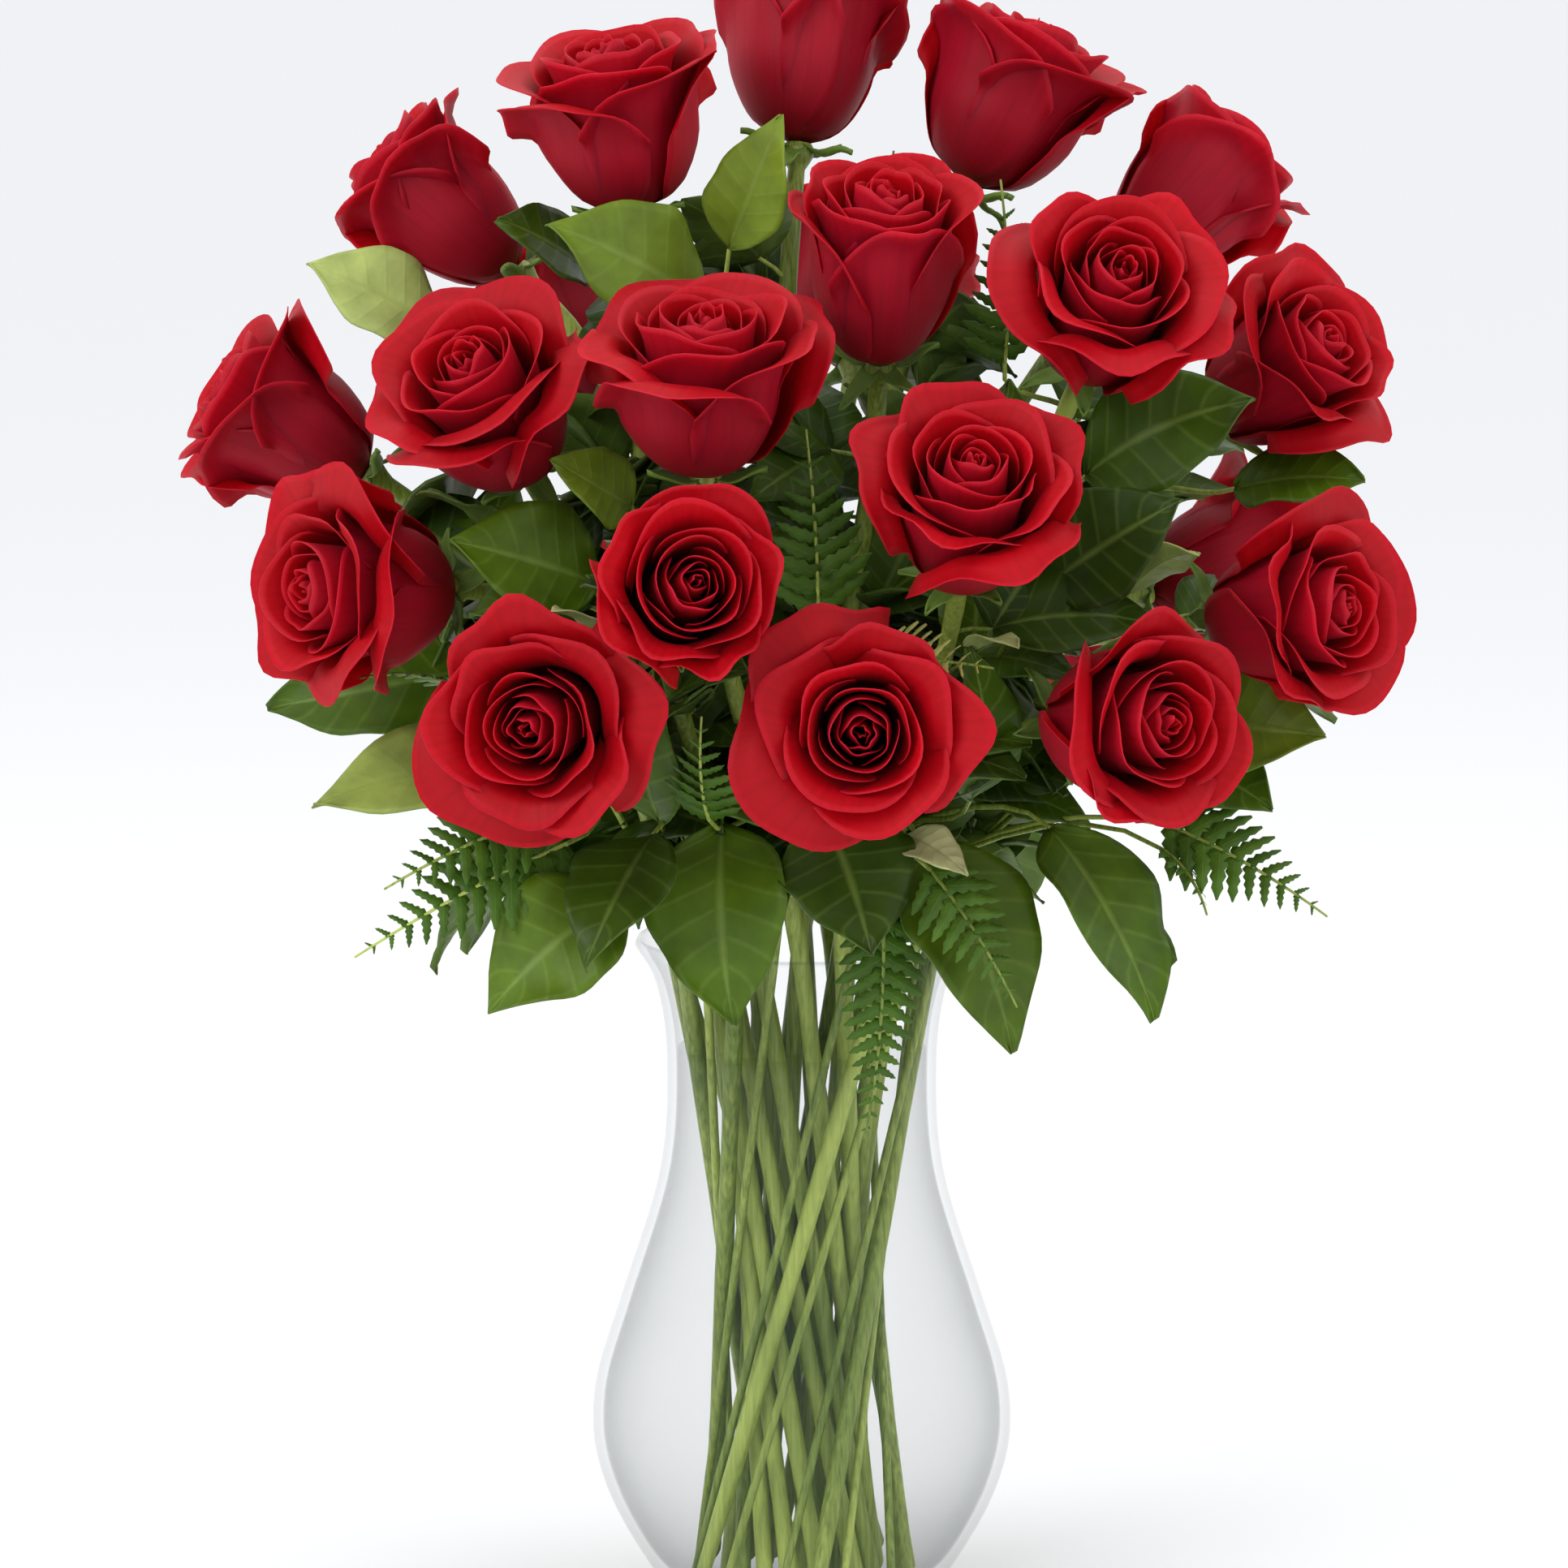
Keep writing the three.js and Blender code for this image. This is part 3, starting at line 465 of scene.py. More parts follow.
def blade_grid(rows: int, columns: int) -> tuple[np.ndarray, np.ndarray, np.ndarray]:
    """The grid that a flat blade is shaped from.

    Args:
        rows: points along it.
        columns: points across it.

    Returns:
        For each point its place across, from 1 to -1, its place along, from 0 to 1, and its UV.
    """
    u, v = np.meshgrid(np.linspace(1, -1, columns), np.linspace(0, 1, rows))
    return u, v, np.stack([(u + 1) / 2, v], axis=-1)


def stand(name: str, data: bpy.types.ID) -> Object:
    """Puts a mesh, a lamp or a camera into the scene as an object.

    Args:
        name: the object's name.
        data: what it holds.

    Returns:
        The object, at the origin.
    """
    made = bpy.data.objects.new(name, data)
    bpy.context.scene.collection.objects.link(made)
    return made


# ---------------------------------------------------------------- finishes


def linear(code: str) -> tuple[float, float, float, float]:
    """An sRGB hex colour such as "#a1b2c3" as linear RGBA."""
    parts = [int(code[i : i + 2], 16) / 255 for i in (1, 3, 5)]
    return (*[c / 12.92 if c <= 0.04045 else ((c + 0.055) / 1.055) ** 2.4 for c in parts], 1.0)


def fill(node: bpy.types.Node, inputs: dict[int | str, object]) -> None:
    """Gives a node's inputs their links and values.

    Args:
        node: the node.
        inputs: for each input, by name or number, the socket that feeds it or its value.
    """
    for key, value in inputs.items():
        if isinstance(value, bpy.types.NodeSocket):
            node.id_data.links.new(value, node.inputs[key])
        else:
            node.inputs[key].default_value = value


def add_node(
    tree: bpy.types.NodeTree, kind: str, inputs: dict[int | str, object] | None = None, **settings: object
) -> bpy.types.Node:
    """Adds a node with its settings, its values and its links.

    Where names repeat, inputs go by number: 1 to 4 of a Map Range are the range that comes in and the
    range that goes out, and 6 and 7 of a colour Mix are its two colours.

    Args:
        tree: the node tree.
        kind: the node's type name.
        inputs: for each input, by name or number, the socket that feeds it or its value.
        settings: the node's own properties.

    Returns:
        The node.
    """
    node = tree.nodes.new(kind)
    for key, value in settings.items():
        setattr(node, key, value)
    fill(node, inputs or {})
    return node


def new_material(name: str) -> tuple[Material, Callable[..., bpy.types.Node], bpy.types.Node]:
    """Starts a material.

    Args:
        name: what the real material is.

    Returns:
        The material, what adds a node to it, and its shader.
    """
    made = bpy.data.materials.new(name)
    made.use_nodes = True
    return made, partial(add_node, made.node_tree), made.node_tree.nodes["Principled BSDF"]


def clear_skin(name: str, face: float, edge: float, power: float, values: dict[str, object]) -> Material:
    """A clear material, thin seen face on and denser where the eye looks along it.

    Args:
        name: what the real material is.
        face: how much it hides, seen face on.
        edge: how much it hides, seen along it.
        power: how near the edge it grows dense.
        values: the shader's own values.

    Returns:
        The material.
    """
    made, node, shader = new_material(name)
    facing = node("ShaderNodeLayerWeight", {"Blend": 0.5})
    steep = node("ShaderNodeMath", {0: facing.outputs["Facing"], 1: power}, operation="POWER")
    alpha = node("ShaderNodeMapRange", {"Value": steep.outputs[0], 1: 0.0, 2: 1.0, 3: face, 4: edge})
    fill(shader, {"Alpha": alpha.outputs[0], **values})
    return made


@dataclass(frozen=True)
class Petal:
    """Velvety rose petal: a matt bloom of fine cells, veins that fan from the claw, painted shade towards the
    claw and a painted highlight along the rim.
    """

    inner: str = "#ab0011"
    outer: str = "#a00a22"
    # Painted shade, laid towards the claw, where the petals shade the heart of the flower.
    painted_claw_shade: str = "#7c0010"
    # Painted highlight, laid along each petal's rim.
    rim: str = "#c3102c"
    bloom: str = "#ff6a78"
    roughness: float = 0.56
    sheen: float = 0.03
    sheen_roughness: float = 0.4
    gloss: float = 0.18
    through: float = 0.36
    # Light passes through the thin petals: red goes about 3 mm on its way, green and blue a tenth of that.
    depth: float = 0.003
    depths: Point = (1.0, 0.12, 0.10)

    def material(self) -> Material:
        """Makes the petal's material.

        Returns:
            The material, which reads the petal's UV map and its shade attribute.
        """
        made, node, shader = new_material("rose petal, velvety")
        shade = node("ShaderNodeAttribute", attribute_name="shade")
        side, _, chance = node("ShaderNodeSeparateXYZ", {0: shade.outputs["Vector"]}).outputs
        uv = node("ShaderNodeUVMap", uv_map="surface").outputs[0]
        _, along, _ = node("ShaderNodeSeparateXYZ", {0: uv}).outputs
        # The UV map runs once across and once along a petal of 30 to 50 mm: a vein about each millimetre.
        stretched = node("ShaderNodeMapping", {0: uv, "Scale": (34, 2.2, 1)})
        veins = node("ShaderNodeTexNoise", {"Vector": stretched.outputs[0], "Scale": 1.0, "Detail": 2.0})
        # The two faces, with painted shade that deepens the red towards the claw and a painted highlight
        # along the rim.
        colours = {"Factor": side, 6: linear(self.inner), 7: linear(self.outer)}
        faces = node("ShaderNodeMix", colours, data_type="RGBA")
        # Painted shade: towards the claw the red goes over to the darker colour, for the shade deep between
        # the petals.
        low = node("ShaderNodeMapRange", {"Value": along, 1: 0.0, 2: 0.5, 3: 0.8, 4: 0.0})
        colours = {"Factor": low.outputs[0], 6: faces.outputs[2], 7: linear(self.painted_claw_shade)}
        claw_shaded = node("ShaderNodeMix", colours, data_type="RGBA")
        # Painted highlight: the last stretch of each petal goes over to the lighter rim colour, where light
        # catches the rolled edge.
        edge = node("ShaderNodeMapRange", {"Value": along, 1: 0.93, 2: 1.0, 3: 0.0, 4: 0.4})
        colours = {"Factor": edge.outputs[0], 6: claw_shaded.outputs[2], 7: linear(self.rim)}
        rim_highlighted = node("ShaderNodeMix", colours, data_type="RGBA")
        # Lighter and darker by the veins, and from petal to petal.
        fine = node("ShaderNodeMapRange", {"Value": veins.outputs[0], 1: 0.3, 2: 0.7, 3: 0.89, 4: 1.08})
        lively = node("ShaderNodeMapRange", {"Value": chance, 1: 0.0, 2: 1.0, 3: 0.9, 4: 1.08})
        value = node("ShaderNodeMath", {0: fine.outputs[0], 1: lively.outputs[0]}, operation="MULTIPLY")
        final = node("ShaderNodeHueSaturation", {"Value": value.outputs[0], "Color": rim_highlighted.outputs[2]})
        bump = node("ShaderNodeBump", {"Height": veins.outputs[0], "Strength": 0.25, "Distance": 0.0004})
        fill(shader, {
            "Base Color": final.outputs[0],
            "Normal": bump.outputs[0],
            "Roughness": self.roughness,
            "Sheen Weight": self.sheen,
            "Sheen Roughness": self.sheen_roughness,
            "Sheen Tint": linear(self.bloom),
            "Subsurface Weight": self.through,
            "Subsurface Radius": self.depths,
            "Subsurface Scale": self.depth,
            "Specular IOR Level": self.gloss,
        })
        return made


@dataclass(frozen=True)
class Leaf:
    """Leathery evergreen leaf: half gloss, a pale rib and side veins, darker between them."""

    dark: str = "#1f3308"
    middle: str = "#46620a"
    light: str = "#83992c"
    palest: str = "#cbd196"
    vein: str = "#8fa650"
    under: str = "#627a38"
    roughness: float = 0.42
    gloss: float = 0.22
    veins: float = 7.0
    vein_show: float = 0.3

    def material(self) -> Material:
        """Makes the leaf's material.

        Returns:
            The material, which reads the leaf's UV map and its shade and tone attributes.
        """
        made, node, shader = new_material("evergreen leaf, leathery")
        shade = node("ShaderNodeAttribute", attribute_name="shade")
        side, layer, chance = node("ShaderNodeSeparateXYZ", {0: shade.outputs["Vector"]}).outputs
        tone = node("ShaderNodeAttribute", attribute_name="tone")
        whole = {0: layer, 1: tone.outputs["Fac"]}
        pale = node("ShaderNodeMath", whole, operation="ADD", use_clamp=True)
        uv = node("ShaderNodeUVMap", uv_map="surface")
        across, along, _ = node("ShaderNodeSeparateXYZ", {0: uv.outputs[0]}).outputs
        off = node("ShaderNodeMath", {0: across, 1: 0.5}, operation="SUBTRACT")
        away = node("ShaderNodeMath", {0: off.outputs[0]}, operation="ABSOLUTE")
        # Side veins run from the rib to the edge, slanting to the tip.
        slant = node("ShaderNodeMath", {0: away.outputs[0], 1: 2.2}, operation="MULTIPLY")
        rank = node("ShaderNodeMath", {0: along, 1: self.veins}, operation="MULTIPLY")
        phase = node("ShaderNodeMath", {0: rank.outputs[0], 1: slant.outputs[0]}, operation="SUBTRACT")
        beat = node("ShaderNodeMath", {0: phase.outputs[0], 1: 0.5}, operation="PINGPONG")
        side_vein = node("ShaderNodeMapRange", {"Value": beat.outputs[0], 1: 0.0, 2: 0.13, 3: 0.4, 4: 0.0})
        rib = node("ShaderNodeMapRange", {"Value": away.outputs[0], 1: 0.006, 2: 0.045, 3: 1.0, 4: 0.0})
        vein = node("ShaderNodeMath", {0: side_vein.outputs[0], 1: rib.outputs[0]}, operation="MAXIMUM")
        shown = node("ShaderNodeMath", {0: vein.outputs[0], 1: self.vein_show}, operation="MULTIPLY")
        # The blade from dark to palest, with a mottle of about 10 mm and a paler underside.
        place = node("ShaderNodeTexCoord")
        grain = {"Vector": place.outputs["Object"], "Scale": 90.0, "Detail": 3.0}
        mottle = node("ShaderNodeTexNoise", grain)
        spotted = node("ShaderNodeMapRange", {"Value": mottle.outputs[0], 1: 0.3, 2: 0.7, 3: 0.8, 4: 1.2})
        blade = node("ShaderNodeValToRGB", {"Fac": pale.outputs[0]})
        stops = blade.color_ramp.elements
        stops[0].color, stops[1].color = linear(self.dark), linear(self.palest)
        for where, code in ((0.4, self.middle), (0.82, self.light)):
            stops.new(where).color = linear(code)
        turned = node("ShaderNodeMath", {0: side, 1: 0.6}, operation="MULTIPLY")
        colours = {"Factor": turned.outputs[0], 6: blade.outputs[0], 7: linear(self.under)}
        faces = node("ShaderNodeMix", colours, data_type="RGBA")
        colours = {"Factor": shown.outputs[0], 6: faces.outputs[2], 7: linear(self.vein)}
        veined = node("ShaderNodeMix", colours, data_type="RGBA")
        lively = node("ShaderNodeMapRange", {"Value": chance, 1: 0.0, 2: 1.0, 3: 0.85, 4: 1.15})
        value = node("ShaderNodeMath", {0: spotted.outputs[0], 1: lively.outputs[0]}, operation="MULTIPLY")
        final = node("ShaderNodeHueSaturation", {"Value": value.outputs[0], "Color": veined.outputs[2]})
        bump = node("ShaderNodeBump", {"Height": vein.outputs[0], "Strength": 0.35, "Distance": 0.0005})
        fill(shader, {
            "Base Color": final.outputs[0],
            "Normal": bump.outputs[0],
            "Roughness": self.roughness,
            "Specular IOR Level": self.gloss,
        })
        return made


FERN = Leaf(
    dark="#25430f",
    middle="#4c6f1f",
    light="#98a24c",
    palest="#bdb968",
    vein="#7f9f4a",
    under="#5f7d3c",
    veins=5.0,
    vein_show=0.2,
)
SEPAL = Leaf(
    dark="#4d6a24", middle="#66852f", light="#86a34e", vein="#93ab5c", roughness=0.5, veins=3.0, vein_show=0.2
)


@dataclass(frozen=True)
class Stem:
    """Waxy green stem: a satin skin with fine streaks along it, yellower in places."""

    base: str = "#50680e"
    pale: str = "#b9cb60"
    roughness: float = 0.42

    def material(self) -> Material:
        """Makes the stem's material.

        Returns:
            The material, in object coordinates.
        """
        made, node, shader = new_material("green stem, waxy")
        place = node("ShaderNodeTexCoord").outputs["Object"]
        # Streaks about 1 mm wide and 25 mm long.
        drawn = node("ShaderNodeMapping", {0: place, "Scale": (900, 900, 40)})
        streaks = node("ShaderNodeTexNoise", {"Vector": drawn.outputs[0], "Scale": 1.0, "Detail": 2.0})
        broad = node("ShaderNodeTexNoise", {"Vector": place, "Scale": 14.0, "Detail": 1.0})
        tone = node("ShaderNodeAttribute", attribute_name="tone")
        both = node("ShaderNodeMath", {0: streaks.outputs[0], 1: broad.outputs[0]}, operation="MULTIPLY")
        parts = {0: tone.outputs["Fac"], 1: 0.3, 2: both.outputs[0]}
        own = node("ShaderNodeMath", parts, operation="MULTIPLY_ADD")
        share = node("ShaderNodeMapRange", {"Value": own.outputs[0], 1: 0.16, 2: 0.6, 3: 0.0, 4: 1.0})
        colours = {"Factor": share.outputs[0], 6: linear(self.base), 7: linear(self.pale)}
        mixed = node("ShaderNodeMix", colours, data_type="RGBA")
        bump = node("ShaderNodeBump", {"Height": streaks.outputs[0], "Strength": 0.2, "Distance": 0.0003})
        fill(shader, {
            "Base Color": mixed.outputs[2],
            "Normal": bump.outputs[0],
            "Roughness": self.roughness,
        })
        return made


@dataclass(frozen=True)
class Glass:
    """Clear soda glass, fire-polished: nearly unseen face on, with a painted grey where the eye looks along
    it, which stands in for the darker room seen bent through the glass.
    """

    # Painted refraction: this grey, densest at the edges, stands in for the darker surroundings seen through
    # the glass.
    tint: str = "#59635f"
    face: float = 0.03
    edge: float = 0.34
    power: float = 3.2
    roughness: float = 0.05
    gloss: float = 0.14

    def material(self) -> Material:
        """Makes the glass.

        Returns:
            The material, clear by alpha so that the stems stay lit and sharp behind it.
        """
        own = {
            "Base Color": linear(self.tint),
            "Roughness": self.roughness,
            "Specular IOR Level": self.gloss,
        }
        return clear_skin("soda glass, clear", self.face, self.edge, self.power, own)


@dataclass(frozen=True)
class Water:
    """Clear still water, a little grey-green from what it mirrors and from the stems."""

    tint: str = "#616d67"
    face: float = 0.10
    edge: float = 0.20
    power: float = 2.0
    roughness: float = 0.02
    ior: float = 1.33

    def material(self) -> Material:
        """The water, clear by alpha."""
        own = {"Base Color": linear(self.tint), "Roughness": self.roughness, "IOR": self.ior}
        return clear_skin("still water", self.face, self.edge, self.power, own)


@dataclass(frozen=True)
class Paper:
    """Plain white backdrop paper: matt, with the faintest tooth, about a millimetre wide."""

    tint: str = "#f3f4f5"
    roughness: float = 0.9

    def material(self) -> Material:
        """Makes the paper's material.

        Returns:
            The material, in object coordinates.
        """
        made, node, shader = new_material("backdrop paper")
        place = node("ShaderNodeTexCoord")
        tooth = node("ShaderNodeTexNoise", {"Vector": place.outputs["Object"], "Scale": 900.0})
        bump = node("ShaderNodeBump", {"Height": tooth.outputs[0], "Strength": 0.05, "Distance": 0.0002})
        own = {"Base Color": linear(self.tint), "Roughness": self.roughness}
        fill(shader, {"Normal": bump.outputs[0], **own})
        return made


# ---------------------------------------------------------------- roses


@dataclass
class Bloom:
    """A rose's flower: petals in layers round a spiral heart, the outer ones rolled back at the rim.

    A petal's place is out, from 0 at the heart to 1 outside. How much of the outer petals' open form it
    has is late, from 0 to 1. The wall and the heights are in metres. The core, the belly, the lip and the
    stand-off are shares of the flower's radius, and the arcs and rolls are degrees. The flower's width is
    measured in so many bins round it, and drawn in step by step down to the least share.
    """

    spec: RoseSpec
    index: int
    petals: int = 21
    rows: int = 16
    columns: int = 21
    wall: float = 0.0006
    bud_height: float = 0.068
    height_lost: float = 0.012
    opens_from: float = 0.35
    core: float = 0.06
    belly: float = 0.76
    belly_lost: float = 0.14
    lip: float = 0.88
    bud_arc: float = 118
    arc_lost: float = 56
    shoulder: float = 0.17
    bud_roll: float = 8
    open_roll: float = 100
    blown_roll: float = 45
    stand_off: float = 0.055
    bins: int = 24
    step: float = 0.985
    least: float = 0.6
    seed: int = 410

    @property
    def height(self) -> float:
        """Height of the head in metres: a blown flower is lower."""
        return self.bud_height - self.height_lost * self.spec.opened

    @property
    def axis(self) -> Vector:
        """The way the flower faces."""
        return toward(*self.spec.faces)

    @property
    def base(self) -> Vector:
        """The middle of the flower's base."""
        return Vector(self.spec.at) - self.axis * (self.height / 2)

    def matrix(self) -> np.ndarray:
        """The flower's turn and place.

        Returns:
            Four rows of four, which take points out of the flower's own frame.
        """
        turn = Vector((0, 0, 1)).rotation_difference(self.axis).to_matrix().to_4x4()
        own = Matrix.Rotation(self.index * GOLDEN_ANGLE, 4, "Z")
        return np.array(Matrix.Translation(self.base) @ turn @ own)

    def profile(self, out: float, late: float, dice: random.Random) -> list[Aim]:
        """A petal's middle line before its rim rolls.

        Args:
            out: the petal's place.
            late: how open its form is.
            dice: source of the small differences between petals.

        Returns:
            Radius and height of the line's knots, from the claw up to the lip.
        """
        opened, height = self.spec.opened, self.height
        radius = self.spec.across / 2
        body = radius * (self.core + (self.belly - self.belly_lost * opened) * out**0.85)
        closed_lip = body * (0.45 + 0.62 * min(1, out * 2.2))
        open_lip = radius * (self.lip - 0.08 * (1 - opened))
        lip = closed_lip * (1 - late) + open_lip * late
        lip *= 1 + dice.uniform(-0.08, 0.05) * late
        top = height * (0.975 - 0.05 * abs(out - 0.4) - (0.01 + 0.06 * opened) * late**2)
        top *= 1 + dice.uniform(-0.045, 0.015)
        return [
            (0.10 * body, 0.0),
            (0.60 * body, 0.10 * height),
            (0.90 * body, 0.33 * height),
            (0.98 * body, 0.60 * top),
            (0.6 * body + 0.4 * lip, 0.84 * top),
            (lip, top),
        ]

    def petal(self, number: int, dice: random.Random) -> tuple[np.ndarray, np.ndarray, float]:
        """One petal in the flower's own frame.

        Args:
            number: its place from the heart outwards.
            dice: source of the small differences between petals.

        Returns:
            Its grid of points, its wall by row and column, and how far out it stands from 0 to 1.
        """
        opened, height = self.spec.opened, self.height
        radius = self.spec.across / 2
        out = number / (self.petals - 1)
        late = smooth_step(self.opens_from, 1.0, np.array(out)).item()
        knots = self.profile(out, late, dice)
        half_arc = math.radians(self.bud_arc - self.arc_lost * out + dice.uniform(-8, 6))
        # s runs across from -1 to 1, and t from the claw to the rim. The sides' tops are lower.
        across = np.linspace(-1, 1, self.columns)
        along = np.linspace(0, 1, self.rows) ** 0.85
        s, t = np.meshgrid(across, along)
        round_off = (self.shoulder + 0.2 * late) * np.abs(s) ** 2.3
        line = through(knots, (t * (1 - round_off)).ravel())
        r, z = line[:, 0].reshape(s.shape), line[:, 1].reshape(s.shape)
        # The rim rolls outwards, more on the outer petals.
        roll = math.radians(self.bud_roll + (self.open_roll + self.blown_roll * opened) * late)
        roll *= 1 + dice.uniform(-0.38, 0.25)
        strip = radius * (0.05 + 0.13 * late)
        begin = 1 - 0.30 * (0.4 + 0.6 * late)
        bend = smooth_step(begin, 1.0, t) * roll * (0.96 - 0.12 * np.abs(s))
        r = r + strip * (1 - np.cos(bend)) * 0.9
        z = z + strip * (np.sin(bend) - bend * 0.35) * 0.4 - strip * (1 - np.cos(bend)) * 0.42
        # The sides stand a little off their neighbours.
        sides = smooth_step(0.55, 1.0, np.abs(s)) * smooth_step(0.2, 0.9, t)
        r = r + radius * self.stand_off * (0.35 + late) * sides
        # The rim is waved.
        wave = math.pi * (1.6 + 1.8 * dice.random())
        r = r + radius * (0.012 + 0.03 * late) * np.sin(s * wave + dice.uniform(0, 6)) * t**3
        z = z + height * 0.012 * np.sin(s * wave * 0.8 + dice.uniform(0, 6)) * t**3
        # One side tucks under the next petal, and the outer petals come to a soft point.
        tuck = 1 - (0.16 - 0.10 * out) * (s + 1) / 2
        point = radius * (0.04 + 0.05 * dice.random()) * late
        point = point * np.exp(-(((s - dice.uniform(-0.15, 0.15)) / 0.22) ** 2))
        r = r * tuck + point * smooth_step(0.75, 1.0, t)
        turn = number * GOLDEN_ANGLE + dice.uniform(-0.12, 0.12)
        claw = 0.62 + 0.38 * smooth_step(0.0, 0.5, t) - 0.07 * late * smooth_step(0.7, 1.0, t)
        angle = turn + s * half_arc * claw
        grid = np.stack([r * np.cos(angle), r * np.sin(angle), z], axis=-1)
        # The wall thins to half at the rim.
        wall = self.wall * (1 - 0.5 * smooth_step(0.7, 1.0, np.maximum(t, np.abs(s))))
        return grid, wall, out

    def outline(self, grids: Sequence[np.ndarray]) -> float:
        """Radius of the flower's outline, most of it the mean over its bearings.

        Args:
            grids: the petals' points.

        Returns:
            The radius.
        """
        points = np.concatenate([grid.reshape(-1, 3) for grid in grids])
        away = np.hypot(points[:, 0], points[:, 1])
        share = np.arctan2(points[:, 1], points[:, 0]) / (2 * math.pi) % 1
        sector = (share * self.bins).astype(int) % self.bins
        reach = [away[sector == k].max() for k in range(self.bins)]
        return 0.7 * np.mean(reach) + 0.3 * max(reach)

    def fit(self, grids: Sequence[np.ndarray]) -> list[np.ndarray]:
        """Places the petals, drawn in by steps until they are inside the CAD's box.

        Args:
            grids: the petals' points in the flower's own frame.

        Returns:
            Their points in the scene.
        """
        matrix = self.matrix()
        low, high = np.array(CAD_BOX) + np.array([[BOX_ROOM], [-BOX_ROOM]])
        share = self.spec.across / 2 / self.outline(grids)
        while True:
            placed = [(grid * (share, share, 1)) @ matrix[:3, :3].T + matrix[:3, 3] for grid in grids]
            inside = all((grid > low).all() and (grid < high).all() for grid in placed)
            if inside or share < self.least:
                return placed
            share *= self.step

    def build(self, material: Material) -> Object:
        """Makes the bloom.

        Args:
            material: the petal's material.

        Returns:
            The bloom's object.
        """
        dice = random.Random(self.seed + self.index)
        petals = [self.petal(number, dice) for number in range(self.petals)]
        placed = self.fit([grid for grid, _, _ in petals])
        s, t = np.meshgrid(np.linspace(0, 1, self.columns), np.linspace(0, 1, self.rows))
        uv = np.stack([s, t], axis=-1)
        sheets = Sheets()
        for grid, (_, wall, out) in zip(placed, petals):
            sheets.add_shell(grid, wall, uv, out, dice.random())
        return sheets.object(f"bloom_{self.index + 1:02d}", material)


# ---------------------------------------------------------------- shapes grown by node trees


@dataclass
class Grower:
    """A Geometry Nodes tree with named inputs, which turns a plain mesh of points or lines into a piece."""

    name: str
    sockets: tuple[tuple[str, str], ...]

    def __post_init__(self) -> None:
        """Makes the tree with its group input and output."""
        self.tree = bpy.data.node_groups.new(self.name, "GeometryNodeTree")
        self.tree.interface.new_socket("Geometry", in_out="INPUT", socket_type="NodeSocketGeometry")
        for label, kind in self.sockets:
            self.tree.interface.new_socket(label, in_out="INPUT", socket_type=kind)
        self.tree.interface.new_socket("Geometry", in_out="OUTPUT", socket_type="NodeSocketGeometry")
        self.given = self.tree.nodes.new("NodeGroupInput").outputs
        self.node = partial(add_node, self.tree)

    def close(self, geometry: bpy.types.NodeSocket) -> None:
        """Ends the tree: smooth faces, real meshes in place of instances, and the material.

        Args:
            geometry: the socket that holds the finished shape.
        """
        smooth = self.node("GeometryNodeSetShadeSmooth", {0: geometry})
        real = self.node("GeometryNodeRealizeInstances", {0: smooth.outputs[0]})
        finish = {0: real.outputs[0], "Material": self.given["Material"]}
        dressed = self.node("GeometryNodeSetMaterial", finish)
        self.node("NodeGroupOutput", {0: dressed.outputs[0]})

    def grow(self, name: str, seed: bpy.types.Mesh, values: dict[str, object]) -> Object:
        """Runs the tree on a mesh.

        Args:
            name: the new object's name.
            seed: the mesh of points or lines.
            values: a value for each named input.

        Returns:
            An object with the result as a plain mesh.
        """
        host = stand(f"{name}_seed", seed)
        modifier = host.modifiers.new("grow", "NODES")
        modifier.node_group = self.tree
        for item in self.tree.interface.items_tree:
            if item.item_type == "SOCKET" and item.in_out == "INPUT" and item.name in values:
                modifier[item.identifier] = values[item.name]
        evaluated = host.evaluated_get(bpy.context.evaluated_depsgraph_get())
        mesh = bpy.data.meshes.new_from_object(evaluated)
        mesh.name = name
        host.modifiers.remove(modifier)
        bpy.data.objects.remove(host)
        bpy.data.meshes.remove(seed)
        return stand(name, mesh)


